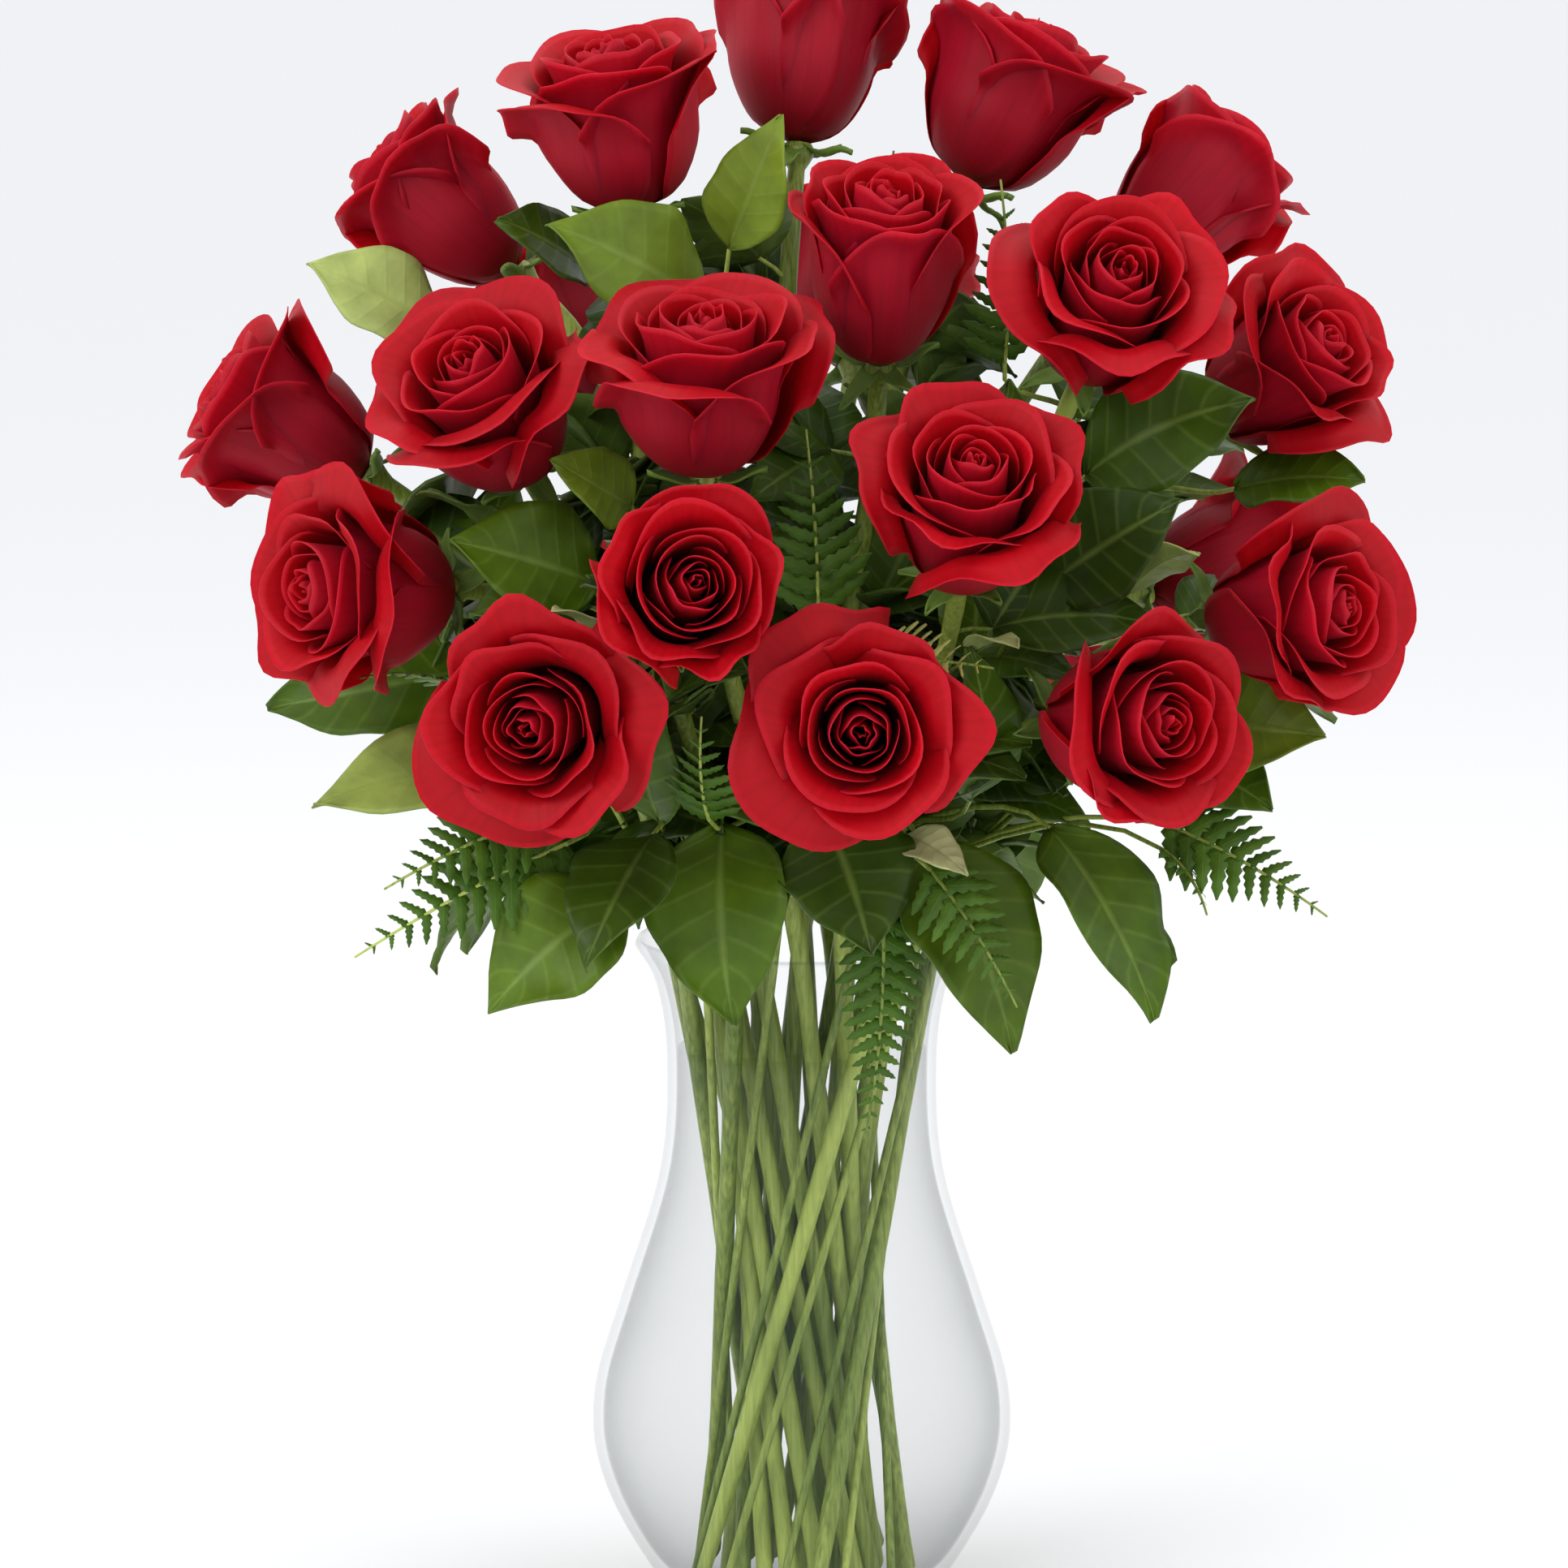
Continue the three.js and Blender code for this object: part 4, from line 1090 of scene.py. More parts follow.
class Stalks(Grower):
    """Round stems that follow lines of points, each with its own girth, cut off on the slant at the foot."""

    def __init__(self) -> None:
        """Makes the tree."""
        sockets = (
            ("Sides", "NodeSocketInt"),
            ("Foot", "NodeSocketFloat"),
            ("Slant", "NodeSocketFloat"),
            ("Material", "NodeSocketMaterial"),
        )
        super().__init__("stalks along their lines", sockets)
        node, given = self.node, self.given
        position = node("GeometryNodeInputPosition")
        line = node("GeometryNodeMeshToCurve", {0: given["Geometry"]})
        # The line's own place is kept, so that the tube's points know how far off its middle they are.
        values = {0: line.outputs[0], "Name": "middle", "Value": position.outputs[0]}
        kept = node("GeometryNodeStoreNamedAttribute", values, data_type="FLOAT_VECTOR")
        girth = node("GeometryNodeInputNamedAttribute", {"Name": "girth"})
        ring = node("GeometryNodeCurvePrimitiveCircle", {"Resolution": given["Sides"], "Radius": 1.0})
        values = {0: kept.outputs[0], 1: ring.outputs[0], "Scale": girth.outputs[0], "Fill Caps": True}
        tube = node("GeometryNodeCurveToMesh", values)
        middle = node("GeometryNodeInputNamedAttribute", {"Name": "middle"}, data_type="FLOAT_VECTOR")
        places = {0: position.outputs[0], 1: middle.outputs[0]}
        off = node("ShaderNodeVectorMath", places, operation="SUBTRACT")
        uphill = {0: off.outputs[0], 1: (0.8, 0.6, 0)}
        lean = node("ShaderNodeVectorMath", uphill, operation="DOT_PRODUCT")
        rise = node("ShaderNodeMath", {0: lean.outputs["Value"], 1: given["Slant"]}, operation="MULTIPLY")
        shift = node("ShaderNodeCombineXYZ", {2: rise.outputs[0]})
        height = node("ShaderNodeSeparateXYZ", {0: position.outputs[0]})
        heights = {0: height.outputs[2], 1: given["Foot"]}
        low = node("FunctionNodeCompare", heights, data_type="FLOAT", operation="LESS_THAN")
        values = {0: tube.outputs[0], "Selection": low.outputs[0], "Offset": shift.outputs[0]}
        cut = node("GeometryNodeSetPosition", values)
        self.close(cut.outputs[0])

    def along(self, name: str, lines: Sequence[Line], sides: int, material: Material) -> Object:
        """Makes stalks along lines.

        Args:
            name: the object's name.
            lines: for each stalk its points and its radius at each.
            sides: number of sides.
            material: its finish.

        Returns:
            The object.
        """
        points = [tuple(p) for line, _ in lines for p in line]
        girths = [g for _, radii in lines for g in radii]
        edges, start = [], 0
        for line, _ in lines:
            edges += [(start + i, start + i + 1) for i in range(len(line) - 1)]
            start += len(line)
        mesh = bpy.data.meshes.new(f"{name}_lines")
        mesh.from_pydata(points, edges, [])
        mesh.attributes.new("girth", "FLOAT", "POINT").data.foreach_set("value", girths)
        dice = random.Random(name)
        tones = [tone for line, _ in lines for tone in [dice.random()] * len(line)]
        mesh.attributes.new("tone", "FLOAT", "POINT").data.foreach_set("value", tones)
        values = {"Sides": sides, "Foot": STEM_FOOT + CUT_HEIGHT, "Slant": CUT_SLANT, "Material": material}
        return self.grow(name, mesh, values)


@dataclass(frozen=True)
class Spot:
    """Where one copy of a blade goes: its base, its turn, its length and how pale it is."""

    at: Vector
    turn: Matrix
    length: float
    tone: float


class Scatter(Grower):
    """Copies of one small blade on many points, each with its own turn, size and paleness."""

    def __init__(self) -> None:
        """Makes the tree."""
        sockets = (("Blade", "NodeSocketObject"), ("Material", "NodeSocketMaterial"))
        super().__init__("blades on points", sockets)
        node, given = self.node, self.given
        points = node("GeometryNodeMeshToPoints", {0: given["Geometry"]})
        blade = node("GeometryNodeObjectInfo", {"Object": given["Blade"]})
        turn = node("GeometryNodeInputNamedAttribute", {"Name": "turn"}, data_type="QUATERNION")
        size = node("GeometryNodeInputNamedAttribute", {"Name": "size"}, data_type="FLOAT_VECTOR")
        values = {0: points.outputs[0], "Instance": blade.outputs["Geometry"]}
        values |= {"Rotation": turn.outputs[0], "Scale": size.outputs[0]}
        copies = node("GeometryNodeInstanceOnPoints", values)
        self.close(copies.outputs[0])

    def place(self, name: str, blade: Object, spots: Sequence[Spot], material: Material) -> Object:
        """Sets copies of a blade.

        Args:
            name: the object's name.
            blade: the blade, one metre long along +Y with its upper face towards +Z.
            spots: where the copies go.
            material: its finish.

        Returns:
            The object.
        """
        mesh = bpy.data.meshes.new(f"{name}_points")
        mesh.from_pydata([tuple(spot.at) for spot in spots], [], [])
        turns = [q for spot in spots for q in spot.turn.to_quaternion()]
        sizes = [spot.length for spot in spots for _ in range(3)]
        tones = [spot.tone for spot in spots]
        mesh.attributes.new("turn", "QUATERNION", "POINT").data.foreach_set("value", turns)
        mesh.attributes.new("size", "FLOAT_VECTOR", "POINT").data.foreach_set("vector", sizes)
        mesh.attributes.new("tone", "FLOAT", "POINT").data.foreach_set("value", tones)
        return self.grow(name, mesh, {"Blade": blade, "Material": material})


class Turned(Grower):
    """A profile turned round the upright axis."""

    def __init__(self) -> None:
        """Makes the tree."""
        sockets = (
            ("Sides", "NodeSocketInt"),
            ("Rows", "NodeSocketInt"),
            ("Material", "NodeSocketMaterial"),
        )
        super().__init__("profile turned on its axis", sockets)
        node, given = self.node, self.given
        line = node("GeometryNodeMeshToCurve", {0: given["Geometry"]})
        ends = node("ShaderNodeMath", {0: given["Sides"], 1: 1.0}, operation="ADD")
        grid = node("GeometryNodeMeshGrid", {0: 1.0, 1: 1.0, 2: ends.outputs[0], 3: given["Rows"]})
        position = node("GeometryNodeInputPosition")
        place = node("ShaderNodeSeparateXYZ", {0: position.outputs[0]})
        share = node("ShaderNodeMath", {0: place.outputs[1], 1: 0.5}, operation="ADD")
        turn = node("ShaderNodeMath", {0: place.outputs[0], 1: 2 * math.pi}, operation="MULTIPLY")
        values = {"Curves": line.outputs[0], "Factor": share.outputs[0]}
        sample = node("GeometryNodeSampleCurve", values, mode="FACTOR")
        spot = node("ShaderNodeSeparateXYZ", {0: sample.outputs["Position"]})
        cosine = node("ShaderNodeMath", {0: turn.outputs[0]}, operation="COSINE")
        sine = node("ShaderNodeMath", {0: turn.outputs[0]}, operation="SINE")
        x = node("ShaderNodeMath", {0: spot.outputs[0], 1: cosine.outputs[0]}, operation="MULTIPLY")
        y = node("ShaderNodeMath", {0: spot.outputs[0], 1: sine.outputs[0]}, operation="MULTIPLY")
        out = node("ShaderNodeCombineXYZ", {0: x.outputs[0], 1: y.outputs[0], 2: spot.outputs[2]})
        wound = node("GeometryNodeSetPosition", {0: grid.outputs[0], "Position": out.outputs[0]})
        closed = node("GeometryNodeMergeByDistance", {0: wound.outputs[0], "Distance": 1e-6})
        self.close(closed.outputs[0])

    def turn(self, name: str, profile: np.ndarray, sides: int, rows: int, material: Material) -> Object:
        """Turns a profile.

        Args:
            name: the object's name.
            profile: radius and height of its points, from the axis outside up and back to the axis.
            sides: number of sides.
            rows: number of rows along the profile.
            material: its finish.

        Returns:
            The object.
        """
        mesh = bpy.data.meshes.new(f"{name}_profile")
        edges = [(i, i + 1) for i in range(len(profile) - 1)]
        mesh.from_pydata([(r, 0, z) for r, z in profile], edges, [])
        return self.grow(name, mesh, {"Sides": sides, "Rows": rows, "Material": material})


# ---------------------------------------------------------------- the rest of a rose


@dataclass
class RoseStem:
    """A rose's long green stem, its hip and its five sepals.

    The hip is given by how far it is under the flower's base, and its radius there. The tips are how high
    each sepal's tip stands over that base.
    """

    bloom: Bloom
    exit_bearing: float
    steps: int = 14
    sides: int = 12
    stray: float = 5
    swell: float = 0.07
    hip: tuple[Aim, ...] = ((0.0065, 0.0042), (0.004, 0.0054), (0.0018, 0.0053), (0.0003, 0.0046))
    sepal_rows: int = 9
    sepal_columns: int = 5
    sepal_width: float = 0.0062
    sepal_wall: float = 0.0006
    sepal_tone: float = 0.45
    sepal_tips: tuple[float, ...] = (0.002, -0.009, 0.001, -0.012, -0.004)
    line_seed: int = 300
    sepal_seed: int = 77

    def line(self) -> list[Vector]:
        """The stem's middle.

        Returns:
            Its points, from its foot to the top of the stem, under the hip.
        """
        dice = random.Random(self.line_seed + self.bloom.index)
        start, end = bundle_run(self.bloom.spec.stem_ring, self.exit_bearing)
        start = Matrix.Rotation(math.radians(dice.uniform(-self.stray, self.stray)), 3, "Z") @ start
        axis = self.bloom.axis
        return climb(start, end, self.bloom.base - axis * HIP_LENGTH, axis, self.steps)

    def sepal(self, out: Vector, tip: float, u: np.ndarray, t: np.ndarray, wave: float) -> np.ndarray:
        """One sepal's points.

        Args:
            out: the way it points, square to the flower's axis.
            tip: how high its tip stands.
            u: places across it.
            t: places along it.
            wave: where its wave begins, in radians.

        Returns:
            The grid.
        """
        knots = [(0.0036, -0.0022), (0.0085, -0.0035 + 0.2 * tip), (0.0145, -0.001 + 0.6 * tip)]
        spine = through([*knots, (SEPAL_REACH, tip)], t.ravel())
        reach, lift = spine[:, 0].reshape(t.shape), spine[:, 1].reshape(t.shape)
        half = self.sepal_width / 2 * (1 - t) ** 0.6 * (1 + 0.35 * np.sin(math.pi * t)) + 0.0002
        lift = lift + 0.0009 * u**2 * (1 + t) + 0.0006 * np.sin(9 * t + wave) * t
        axis, side = np.array(self.bloom.axis), np.array(self.bloom.axis.cross(out))
        grid = reach[..., None] * np.array(out) + lift[..., None] * axis + (u * half)[..., None] * side
        return grid + np.array(self.bloom.base)

    def build(self, stalks: Stalks, stem: Material, green: Material) -> list[Object]:
        """Makes the stem with its hip, and the sepals.

        Args:
            stalks: the tree that makes stems.
            stem: the stem's finish.
            green: the sepals' finish.

        Returns:
            The stem and the calyx.
        """
        index, axis, base = self.bloom.index, self.bloom.axis, self.bloom.base
        dice = random.Random(self.sepal_seed + index)
        line = self.line()
        girths = [ROSE_STEM_RADIUS * (1 + self.swell * math.sin(i * 1.9 + index)) for i in range(len(line))]
        line += [base - axis * depth for depth, _ in self.hip]
        girths += [girth for _, girth in self.hip]
        name = f"{index + 1:02d}"
        stalk = stalks.along(f"rose_stem_{name}", [(line, girths)], self.sides, stem)
        sheets = Sheets()
        level = Matrix.Rotation(index * GOLDEN_ANGLE, 3, axis) @ axis.orthogonal().normalized()
        u, t, uv = blade_grid(self.sepal_rows, self.sepal_columns)
        wall = np.full(t.shape, self.sepal_wall)
        for k, tip in enumerate(self.sepal_tips):
            out = Matrix.Rotation(math.radians(72 * k), 3, axis) @ level
            grid = self.sepal(out, tip, u, t, dice.uniform(0, 6))
            sheets.add_shell(grid, wall, uv, self.sepal_tone, dice.random())
        return [stalk, sheets.object(f"rose_calyx_{name}", green)]


# ---------------------------------------------------------------- leaves and ferns


@dataclass(frozen=True)
class BladeFrame:
    """Where a blade lies: points at a share of its length, set off sideways and up from its arched rib."""

    base: Vector
    tip: Vector
    front: float = 0.0

    @property
    def length(self) -> float:
        """Straight length from base to tip."""
        return (self.tip - self.base).length

    @property
    def axis(self) -> Vector:
        """Direction from base to tip."""
        return (self.tip - self.base).normalized()

    @property
    def face(self) -> Vector:
        """The way the upper face looks: away from the bunch's crown, somewhat up, or turned to the front."""
        out = (self.base.lerp(self.tip, 0.5) - CROWN).normalized() + Vector((0, -self.front, UPTURN))
        return (out - self.axis * out.dot(self.axis)).normalized()

    @property
    def side(self) -> Vector:
        """Direction across the blade."""
        return self.axis.cross(self.face)

    def at(self, share: np.ndarray, sideways: np.ndarray, lift: np.ndarray) -> np.ndarray:
        """Points of the blade.

        Args:
            share: how far along it.
            sideways: how far across it, in metres.
            lift: how far off the rib's arch, in metres.

        Returns:
            The points, with one more axis than the shares.
        """
        bow = BLADE_BOW * self.length * 4 * share * (1 - share) + lift
        base, run = np.array(self.base), np.array(self.tip - self.base)
        face, side = np.array(self.face), np.array(self.side)
        return base + share[..., None] * run + bow[..., None] * face + sideways[..., None] * side


@dataclass
class Sprig:
    """What lemon leaf and fern share: a thin stem out of the water, and blades on stalks from it."""

    spec: SprigSpec
    number: int
    first: float
    pitch: float
    joints: int = 5
    finer: int = 4
    stalk_steps: int = 6
    stalk_radius: float = 0.0011
    stalk_taper: float = 0.00006

    def line(self) -> Line:
        """The stem's middle and its girth.

        Returns:
            Its points from the foot up, and its radius at each.
        """
        start, end = bundle_run(Ring.OUTER, self.first + (self.spec.gap + 0.5) * self.pitch)
        steps = self.joints * self.finer
        points = climb(start, end, Vector(self.spec.top), toward(*self.spec.heads), steps)
        thinner = GREEN_TIP_RADIUS - GREEN_STEM_RADIUS
        radii = [GREEN_STEM_RADIUS] * (RUN_STEPS + 1)
        radii += [GREEN_STEM_RADIUS + thinner * (i + 1) / steps for i in range(steps)]
        return points, radii

    def stalk(self, blade: BladeSpec) -> Line:
        """A blade's stalk from the nearest joint of the stem.

        Args:
            blade: the blade.

        Returns:
            Its middle and its radii.
        """
        points = self.line()[0][RUN_STEPS + self.finer :: self.finer]
        base = Vector(blade.base)
        aim = base - Vector((0, 0, blade.rise))
        start = min(points, key=lambda p: (p - aim).length)
        lie = BladeFrame(base, Vector(blade.tip))
        leave = (base - start).normalized() * 0.7 + Vector((0, 0, 0.3))
        line = [start, *sweep(start, leave, base, lie.axis + lie.face * 0.3, self.stalk_steps)]
        return line, [self.stalk_radius - self.stalk_taper * i for i in range(len(line))]


@dataclass
class LemonLeaf(Sprig):
    """A lemon-leaf sprig: leathery pointed leaves, waved at the edge and folded a little along a pale rib.

    The outline is a leaf's half width, as a share of its greatest, at shares of its length.
    """

    rows: int = 21
    columns: int = 13
    wall: float = 0.0006
    outline: tuple[Aim, ...] = (
        (0, 0.05),
        (0.06, 0.40),
        (0.14, 0.68),
        (0.27, 0.93),
        (0.42, 1),
        (0.6, 0.88),
        (0.76, 0.62),
        (0.9, 0.27),
        (1, 0.012),
    )
    outline_points: int = 80
    fold: float = 0.2
    side_veins: int = 7
    sides: int = 8
    seed: int = 900

    def leaf(self, blade: BladeSpec, dice: random.Random) -> tuple[np.ndarray, np.ndarray]:
        """One leaf as a grid of points.

        Args:
            blade: where it lies.
            dice: source of the small differences between leaves.

        Returns:
            The grid, and its place on the surface.
        """
        lie = BladeFrame(Vector(blade.base), Vector(blade.tip), blade.front)
        u, v, uv = blade_grid(self.rows, self.columns)
        edge = through(self.outline, np.linspace(0, 1, self.outline_points))
        away = np.abs(u)
        half = blade.width / 2 * np.interp(v, edge[:, 0], edge[:, 1])
        half = half * (1 + 0.03 * np.sin(v * 19 + dice.uniform(0, 6)) * away)
        # Folded along the rib, twisted, and waved at the edge.
        lift = half * self.fold * away**1.3
        lift += blade.width * 0.045 * u * away * np.sin(v * dice.uniform(6, 9) + dice.uniform(0, 6))
        lift += blade.width * 0.03 * away**2 * np.sin(v * 13 + dice.uniform(0, 6))
        # Raised a third of a millimetre between the side veins, and sunk along the rib.
        ranks = np.cos(2 * math.pi * (v * self.side_veins - 1.1 * away))
        lift += 0.00035 * ranks * np.sin(math.pi * np.clip(away, 0, 1)) ** 0.5
        lift -= 0.0007 * np.exp(-((u / 0.08) ** 2)) * (1 - v)
        # The tip bends down or up, and the whole leaf sideways.
        lift -= lie.length * dice.uniform(-0.02, 0.05) * v**3
        sway = blade.width * dice.uniform(-0.07, 0.07) * np.sin(math.pi * v)
        return lie.at(v, u * half + sway, lift), uv

    def build(self, stalks: Stalks, leaf: Material, stem: Material) -> list[Object]:
        """Makes the sprig.

        Args:
            stalks: the tree that makes stems.
            leaf: the leaves' finish.
            stem: the stem's finish.

        Returns:
            The leaves, and the stem with its stalks.
        """
        dice = random.Random(self.seed + self.number)
        sheets = Sheets()
        for blade in self.spec.blades:
            grid, uv = self.leaf(blade, dice)
            tone = blade.tone + dice.uniform(-0.08, 0.08)
            sheets.add_shell(grid, np.full(grid.shape[:2], self.wall), uv, tone, dice.random())
        lines = [self.line()] + [self.stalk(blade) for blade in self.spec.blades]
        blades = sheets.object(f"lemon_leaves_{self.number}", leaf)
        return [blades, stalks.along(f"lemon_leaf_stalks_{self.number}", lines, self.sides, stem)]


@dataclass
class LeatherFern(Sprig):
    """A leather fern: side fronds with toothed leaflets in pairs along an arched rib."""

    closer: float = 1.5
    longer: float = 1.6
    stagger: float = 0.12
    rib_points: int = 15
    rib_radius: float = 0.0008
    rib_taper: float = 0.00003
    sides: int = 7
    seed: int = 1500

    def frond(self, blade: BladeSpec, dice: random.Random) -> tuple[list[Vector], list[Spot]]:
        """One side frond.

        Args:
            blade: where it lies.
            dice: source of the small differences between leaflets.

        Returns:
            The rib's points, and a spot for each leaflet.
        """
        lie = BladeFrame(Vector(blade.base), Vector(blade.tip), blade.front)
        shares = np.linspace(0, 1, self.rib_points)
        flat = np.zeros(self.rib_points)
        rib = [Vector(p) for p in lie.at(shares, flat, flat)]
        pairs = round(blade.pairs * self.closer)
        pitch = 1 / (pairs + 0.5)
        spots = []
        for pair in range(pairs):
            root = pitch * (pair + 0.4)
            reach = self.longer * blade.width * min(1, 0.75 + 1.6 * root) * (1 - root) ** 0.9
            for way in (-1, 1):
                place = root + (self.stagger * pitch if way > 0 else 0)
                end = min(place + 0.55 * reach / lie.length, 1.03)
                sideways, droop = np.array([0.0, way * reach]), np.array([0.0, -0.12 * reach])
                a, b = lie.at(np.array([place, end]), sideways, droop)
                y = Vector(b - a)
                x = y.cross(lie.face).normalized()
                turn = Matrix((x, y.normalized(), x.cross(y).normalized())).transposed()
                turn = turn @ Matrix.Rotation(way * 0.2 + dice.uniform(-0.2, 0.2), 3, "Y")
                length = y.length * dice.uniform(0.94, 1.06)
                spots.append(Spot(Vector(a), turn, length, blade.tone + dice.uniform(-0.1, 0.1)))
        return rib, spots

    def build(
        self, stalks: Stalks, scatter: Scatter, leaflet: Object, leaf: Material, stem: Material
    ) -> list[Object]:
        """Makes the fern.

        Args:
            stalks: the tree that makes stems.
            scatter: the tree that sets leaflets.
            leaflet: one leaflet.
            leaf: the leaflets' finish.
            stem: the stem's finish.

        Returns:
            The leaflets, and the stem with its stalks and ribs.
        """
        dice = random.Random(self.seed + self.number)
        spots, lines = [], [self.line()]
        radii = [self.rib_radius - self.rib_taper * i for i in range(self.rib_points)]
        for blade in self.spec.blades:
            rib, more = self.frond(blade, dice)
            spots += more
            lines += [self.stalk(blade), (rib, radii)]
        leaflets = scatter.place(f"fern_leaflets_{self.number}", leaflet, spots, leaf)
        return [leaflets, stalks.along(f"fern_ribs_{self.number}", lines, self.sides, stem)]


def toothed(share: np.ndarray) -> np.ndarray:
    """Half width of a fern's leaflet, toothed along its edge, at a share of its length."""
    return 0.19 * (1 - share) ** 0.5 * (0.72 + 0.42 * (np.round(share * 9) % 2)) + 0.012


def oval(share: np.ndarray) -> np.ndarray:
    """Half width of a rose's leaflet at a share of its length."""
    return 0.36 * np.sin(math.pi * (0.03 + 0.96 * share) ** 0.75)


def unit_blade(
    name: str,
    rows: int,
    columns: int,
    half: Callable[[np.ndarray], np.ndarray],
    fold: float,
    arch: float,
    material: Material,
) -> Object:
    """A blade one metre long along +Y, to be copied on points, which is taken out of the scene.

    Args:
        name: the object's name.
        rows: points along it.
        columns: points across it.
        half: its half width at a share of its length.
        fold: how far its edges stand up, by half width.
        arch: how high its middle stands, by length.
        material: its finish.

    Returns:
        The blade.
    """
    u, v, uv = blade_grid(rows, columns)
    wide = half(v)
    lift = wide * fold * np.abs(u) ** 1.3 + arch * 4 * v * (1 - v) + 0.02 * u * np.sin(v * 11)
    sheets = Sheets()
    wall = np.full(u.shape, UNIT_WALL)
    sheets.add_shell(np.stack([u * wide, v, lift], axis=-1), wall, uv, 0.0, 0.5)
    made = sheets.object(name, material)
    bpy.context.scene.collection.objects.unlink(made)
    return made


@dataclass
class Underleaves:
    """The dark leaves that the roses keep on their stems inside the bunch, three leaflets to a leaf.

    The fan is each leaflet's angle from the leaf's own direction, and its share of the leaf's size. A leaf
    grows only where a point near the stem and another at its tip are clear.
    """

    stems: Sequence[RoseStem]
    lowest: float = 0.240
    below_head: float = 0.030
    every: float = 0.017
    long: Aim = (0.034, 0.056)
    fan: tuple[Aim, ...] = ((0, 1.0), (-62, 0.8), (62, 0.8))
    stalk: float = 0.014
    stalk_bow: float = 0.0008
    stalk_radii: tuple[float, ...] = (0.0009, 0.0008, 0.0007)
    near: float = 0.020
    past_tip: float = 0.012
    box_margin: float = 0.012
    head_share: float = 0.46
    sides: int = 6
    seed: int = 2600

    def clear(self, point: Vector) -> bool:
        """Whether there is room at a point.

        Args:
            point: the point.

        Returns:
            True if it is outside every bloom and well inside the CAD's box.
        """
        low, high = CAD_BOX
        inside = all(low[i] + self.box_margin < point[i] < high[i] - self.box_margin for i in range(3))
        heads = ((Vector(s.bloom.spec.at), s.bloom.spec.across * self.head_share) for s in self.stems)
        return inside and all((point - at).length > reach for at, reach in heads)

    def joints(self) -> Iterator[Vector]:
        """Finds where a leaf may grow: over the lip, under the heads and not too close together.

        Yields:
            A point of a stem's middle.
        """
        for stem in self.stems:
            line = stem.line()
            travelled = 0.0
            for a, b in zip(line, line[1:]):
                travelled += (b - a).length
                head = (stem.bloom.base - b).length
                if b.z >= self.lowest and head >= self.below_head and travelled >= self.every:
                    travelled = 0.0
                    yield b

    def leaflets(
        self, fork: Vector, out: Vector, face: Vector, size: float, dice: random.Random
    ) -> list[Spot]:
        """The leaflets of one leaf.

        Args:
            fork: where they meet.
            out: the way the leaf points.
            face: the way their upper faces look.
            size: the leaf's size.
            dice: source of the differences in paleness.

        Returns:
            A spot for the middle leaflet, and for each side one that has room.
        """
        spots = []
        for angle, share in self.fan:
            y = Matrix.Rotation(math.radians(angle), 3, face) @ out
            y = (y - face * y.dot(face) * 0.3).normalized()
            x = y.cross(face).normalized()
            if angle and not self.clear(fork + y * size * share):
                continue
            turn = Matrix((x, y, x.cross(y).normalized())).transposed()
            spots.append(Spot(fork, turn, size * share, dice.uniform(0.0, 0.3)))
        return spots

    def spots(self) -> tuple[list[Spot], list[Line]]:
        """Sets out the leaves.

        Returns:
            A spot for each leaflet, and the leaves' stalks.
        """
        dice = random.Random(self.seed)
        spots, stalks = [], []
        for joint in self.joints():
            away = Vector((joint.x, joint.y, 0))
            away = away.normalized() if away.length > 1e-4 else Vector((0, -1, 0))
            turn = Matrix.Rotation(dice.uniform(-2.2, 2.2), 3, "Z")
            out = (turn @ away + Vector((0, 0, dice.uniform(-0.1, 0.9)))).normalized()
            size = dice.uniform(*self.long)
            tip = joint + out * (self.past_tip + size)
            if tip.z < self.lowest or not (self.clear(tip) and self.clear(joint + out * self.near)):
                continue
            fork = joint + out * self.stalk
            bend = joint.lerp(fork, 0.5) + Vector((0, 0, self.stalk_bow))
            stalks.append(([joint, bend, fork], list(self.stalk_radii)))
            face = (Vector((out.x, out.y, 0)) * -0.2 + Vector((0, 0, 1)) + away * 0.9).normalized()
            spots += self.leaflets(fork, out, face, size, dice)
        return spots, stalks

    def build(
        self, stalks: Stalks, scatter: Scatter, leaf: Object, green: Material, stem: Material
    ) -> list[Object]:
        """Makes the leaves and their stalks.

        Args:
            stalks: the tree that makes stems.
            scatter: the tree that sets leaves.
            leaf: one leaflet.
            green: the leaves' finish.
            stem: the stalks' finish.

        Returns:
            The leaves, and their stalks.
        """
        spots, lines = self.spots()
        log.info("underleaves: %d", len(spots))
        leaves = scatter.place("rose_leaves", leaf, spots, green)
        return [leaves, stalks.along("rose_leaf_stalks", lines, self.sides, stem)]


# ---------------------------------------------------------------- vase and water


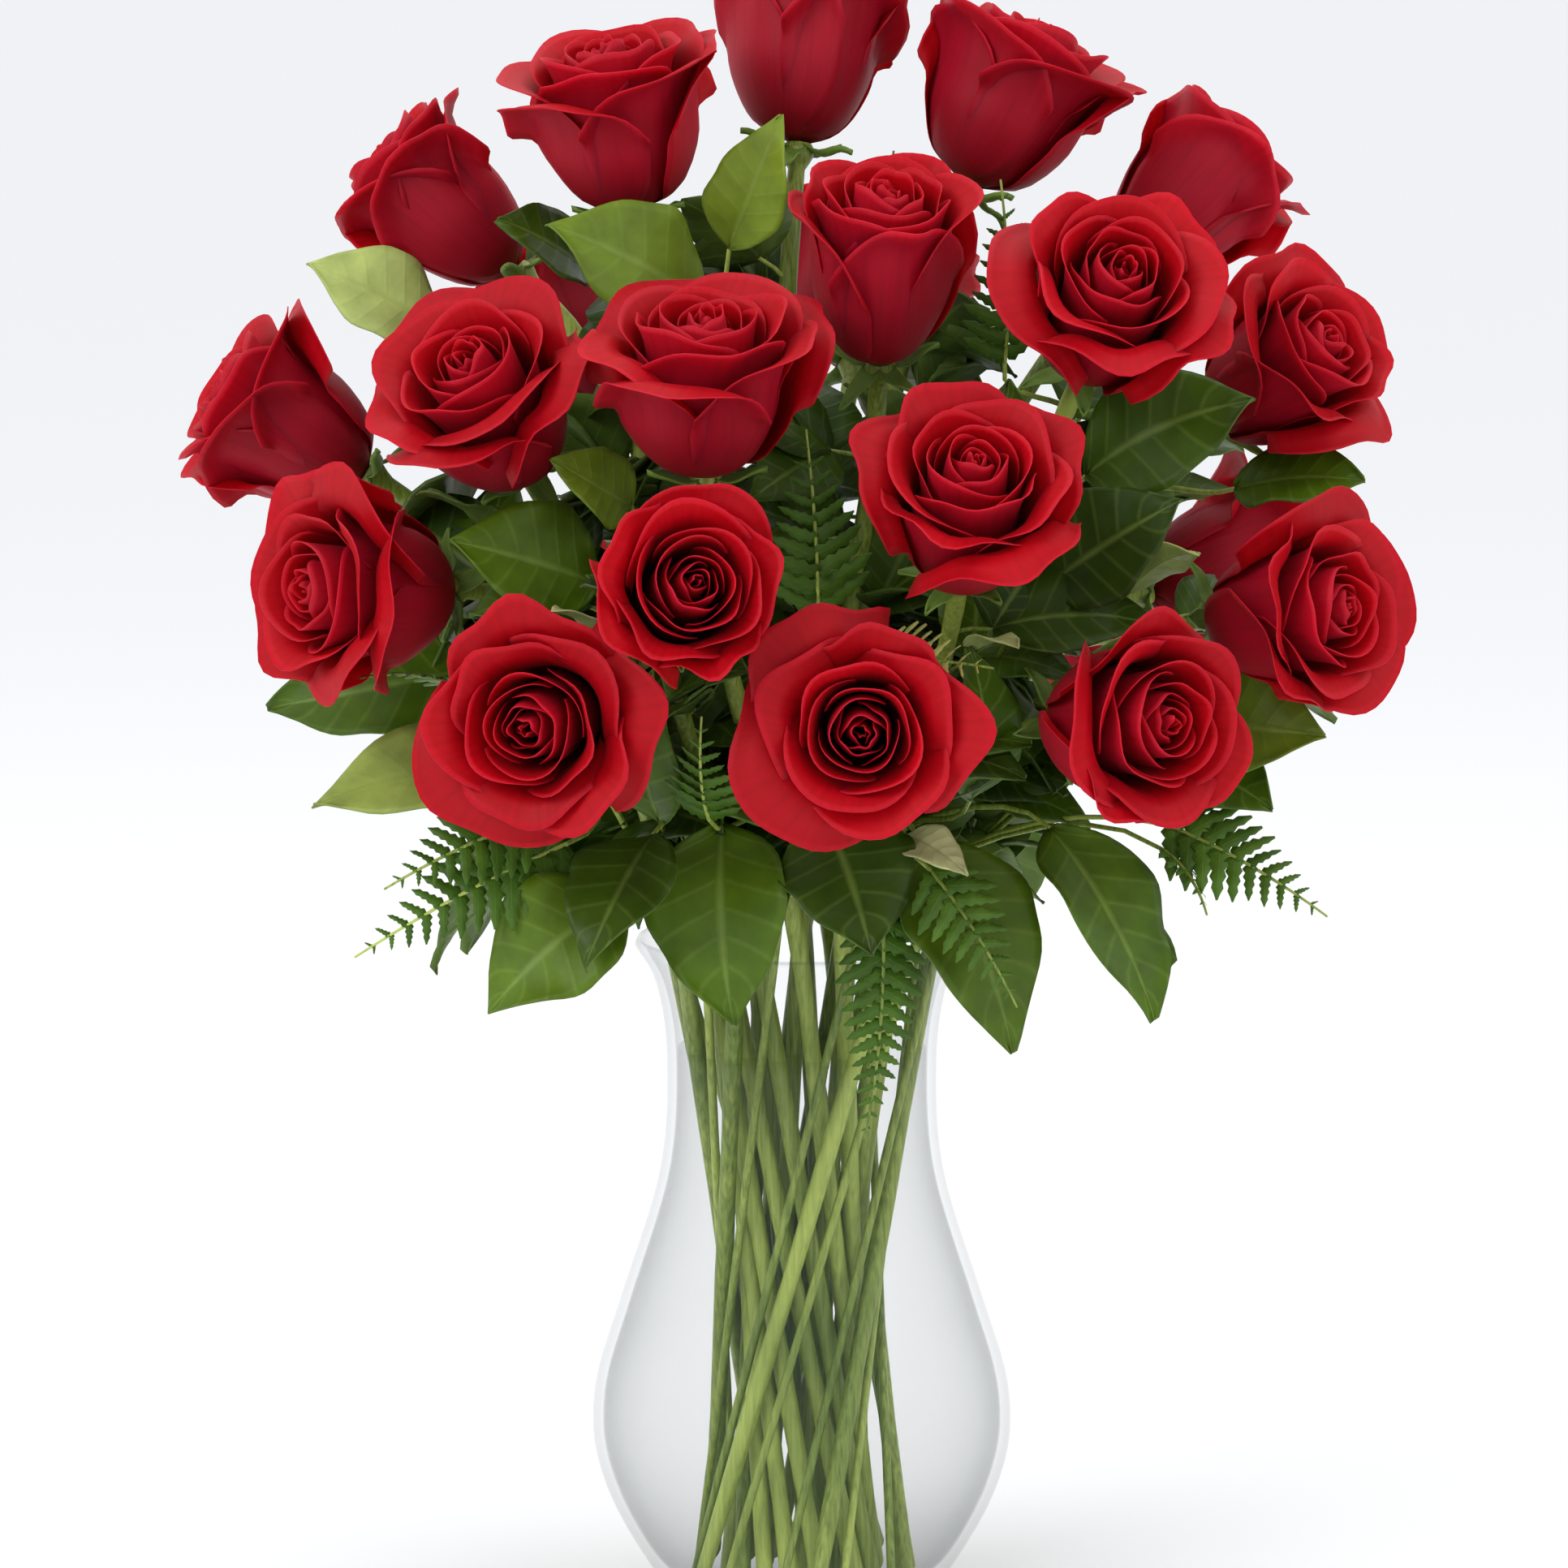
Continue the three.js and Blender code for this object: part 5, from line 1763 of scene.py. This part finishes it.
@dataclass
class Vase:
    """A clear glass vase with a round belly, a waisted neck and a flared, fire-polished lip."""

    sides: int = 96
    rows: int = 150
    water_rows: int = 80
    wall_points: int = 90
    lip_points: int = 9
    outside: tuple[Aim, ...] = (
        (0.038, 0),
        (0.0405, 0.0008),
        (0.043, 0.004),
        (0.0545, 0.021),
        (0.064, 0.038),
        (0.0696, 0.054),
        (0.071, 0.068),
        (0.069, 0.084),
        (0.0615, 0.108),
        (0.048, 0.152),
        (0.0455, 0.190),
        (0.049, 0.216),
        (0.0565, 0.230),
    )
    lip: tuple[Aim, ...] = ((0.0568, 0.2314), (0.0555, 0.232), (0.0542, 0.2312))
    inside: tuple[Aim, ...] = (
        (0.053, 0.229),
        (0.046, 0.215),
        (0.0424, 0.190),
        (0.0448, 0.152),
        (0.058, 0.108),
        (0.0654, 0.084),
        (0.0675, 0.068),
        (0.066, 0.054),
        (0.0603, 0.038),
        (0.0505, 0.021),
        (0.040, VASE_FLOOR),
    )
    gap: float = 0.00035

    def wall(self, knots: tuple[Aim, ...]) -> np.ndarray:
        """One face of the glass, from knots of radius and height."""
        return through(knots, np.linspace(0, 1, self.wall_points))

    def profile(self) -> np.ndarray:
        """The section of the glass.

        Returns:
            Radius and height of its points, from the middle of the underside to that of the floor.
        """
        outside, inside = self.wall(self.outside), self.wall(self.inside)
        lip = through([self.outside[-1], *self.lip, self.inside[0]], np.linspace(0, 1, self.lip_points))
        return np.vstack([[(0, 0)], outside, lip[1:-1], inside, [(0, VASE_FLOOR)]])

    def water(self) -> np.ndarray:
        """The section of the water, just off the glass.

        Returns:
            Radius and height of its points, from the middle of the underside to that of the surface.
        """
        inner = self.wall(self.inside)[::-1]
        side = inner[inner[:, 1] < WATER_LEVEL] + np.array([-self.gap, self.gap])
        surface = [(side[-1][0], WATER_LEVEL), (0, WATER_LEVEL)]
        return np.vstack([[(0, VASE_FLOOR + self.gap)], side, surface])

    def build(self, turned: Turned, glass: Material, water: Material) -> list[Object]:
        """Makes the vase and its water.

        Args:
            turned: the tree that turns profiles.
            glass: the vase's finish.
            water: the water's.

        Returns:
            The vase and the water.
        """
        vase = turned.turn("glass_vase", self.profile(), self.sides, self.rows, glass)
        filling = turned.turn("vase_water", self.water(), self.sides, self.water_rows, water)
        return [vase, filling]


# ---------------------------------------------------------------- stage


@dataclass(frozen=True)
class Lamp:
    """A soft square lamp: where it hangs, its width and its power in watts."""

    name: str
    place: Point
    size: float
    energy: float


@dataclass
class Studio:
    """A plain pale floor, soft white light all round, and a camera where the photograph was taken from."""

    camera_place: Point = (-0.006, -2.2, 0.577)
    camera_pitch: float = 7.6
    lens: float = 151.83
    sensor: float = 36
    floor_size: float = 160.0
    floor_drop: float = 0.0005
    sky: str = "#f6f7f9"
    sky_strength: float = 1.05
    lit: Point = (0, 0, 0.35)
    lamps: tuple[Lamp, ...] = (
        Lamp("window_left", (-1.5, -1.6, 1.7), 1.1, 21),
        Lamp("window_right", (1.7, -1.2, 1.1), 1.2, 6),
        Lamp("overhead", (0.1, 0.5, 2.2), 1.4, 10),
    )

    def light(self, lamp: Lamp) -> None:
        """Hangs a lamp so that it looks at the bunch.

        Args:
            lamp: the lamp.
        """
        data = bpy.data.lights.new(lamp.name, "AREA")
        data.size, data.energy = lamp.size, lamp.energy
        holder = stand(lamp.name, data)
        holder.location = lamp.place
        holder.rotation_euler = (Vector(self.lit) - Vector(lamp.place)).to_track_quat("-Z", "Y").to_euler()

    def build(self, paper: Material) -> None:
        """Makes the floor, the lights and the camera.

        Args:
            paper: the floor's finish.
        """
        half = self.floor_size / 2
        corners = [(-half, -half, 0), (half, -half, 0), (half, half, 0), (-half, half, 0)]
        mesh = bpy.data.meshes.new("studio_floor")
        mesh.from_pydata(corners, [], [(0, 1, 2, 3)])
        mesh.materials.append(paper)
        floor = stand("studio_floor", mesh)
        floor.location.z = -self.floor_drop
        world = bpy.data.worlds.new("studio")
        bpy.context.scene.world = world
        world.use_nodes = True
        fill(world.node_tree.nodes["Background"], {0: linear(self.sky), 1: self.sky_strength})
        bpy.context.scene.view_settings.view_transform = "Standard"
        for lamp in self.lamps:
            self.light(lamp)
        camera = bpy.data.cameras.new("photo_camera")
        camera.lens, camera.sensor_width = self.lens, self.sensor
        holder = stand("photo_camera", camera)
        holder.location = self.camera_place
        holder.rotation_euler = (math.radians(90 - self.camera_pitch), 0, 0)
        bpy.context.scene.camera = holder


def settle(pieces: Sequence[Object], slot: str, *nodes: str) -> None:
    """Says what pieces ride on and stand for, and reports them.

    Args:
        pieces: the pieces.
        slot: a material slot; not used.
        nodes: the CAD nodes that they stand for.
    """
    for piece in pieces:
        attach(piece, BODY)
        if nodes:
            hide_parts(*nodes)
        log.info("%s: %d faces", piece.name, len(piece.data.polygons))


def main() -> None:
    """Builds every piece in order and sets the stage."""
    logging.basicConfig(level=logging.INFO, format="%(message)s")
    petal, stem, leaf = Petal().material(), Stem().material(), Leaf().material()
    fern, sepal = FERN.material(), SEPAL.material()
    stalks, scatter, turned = Stalks(), Scatter(), Turned()
    Studio().build(Paper().material())
    vase, water = Vase().build(turned, Glass().material(), Water().material())
    settle([vase], "clear_glass", "vase")
    settle([water], "water", "water")
    bearings = {ring: ring_bearings(ring) for ring in Ring}
    stems = []
    for index, spec in enumerate(ROSES):
        bloom = Bloom(spec, index)
        rose_stem = RoseStem(bloom, bearings[spec.stem_ring][0][index])
        stems.append(rose_stem)
        node = f"rose_{index + 1:02d}"
        settle([bloom.build(petal)], "rose_petal", f"{node}_bloom")
        settle(rose_stem.build(stalks, stem, sepal), "rose_stem", f"{node}_stem")
    _, first, pitch = bearings[Ring.OUTER]
    for number, spec in enumerate(LEMON_LEAF, 1):
        pieces = LemonLeaf(spec, number, first, pitch).build(stalks, leaf, stem)
        settle(pieces, "lemon_leaf", f"lemon_leaf_{number}")
    leaflet = unit_blade("fern_leaflet", 10, 3, toothed, 0.12, 0.05, fern)
    for number, spec in enumerate(LEATHER_FERN, 1):
        pieces = LeatherFern(spec, number, first, pitch).build(stalks, scatter, leaflet, fern, stem)
        settle(pieces, "leather_fern", f"leather_fern_{number}")
    rose_leaf = unit_blade("rose_leaflet", 9, 5, oval, 0.2, 0.1, leaf)
    settle(Underleaves(stems).build(stalks, scatter, rose_leaf, leaf, stem), "lemon_leaf")


if __name__ == "__main__":
    main()
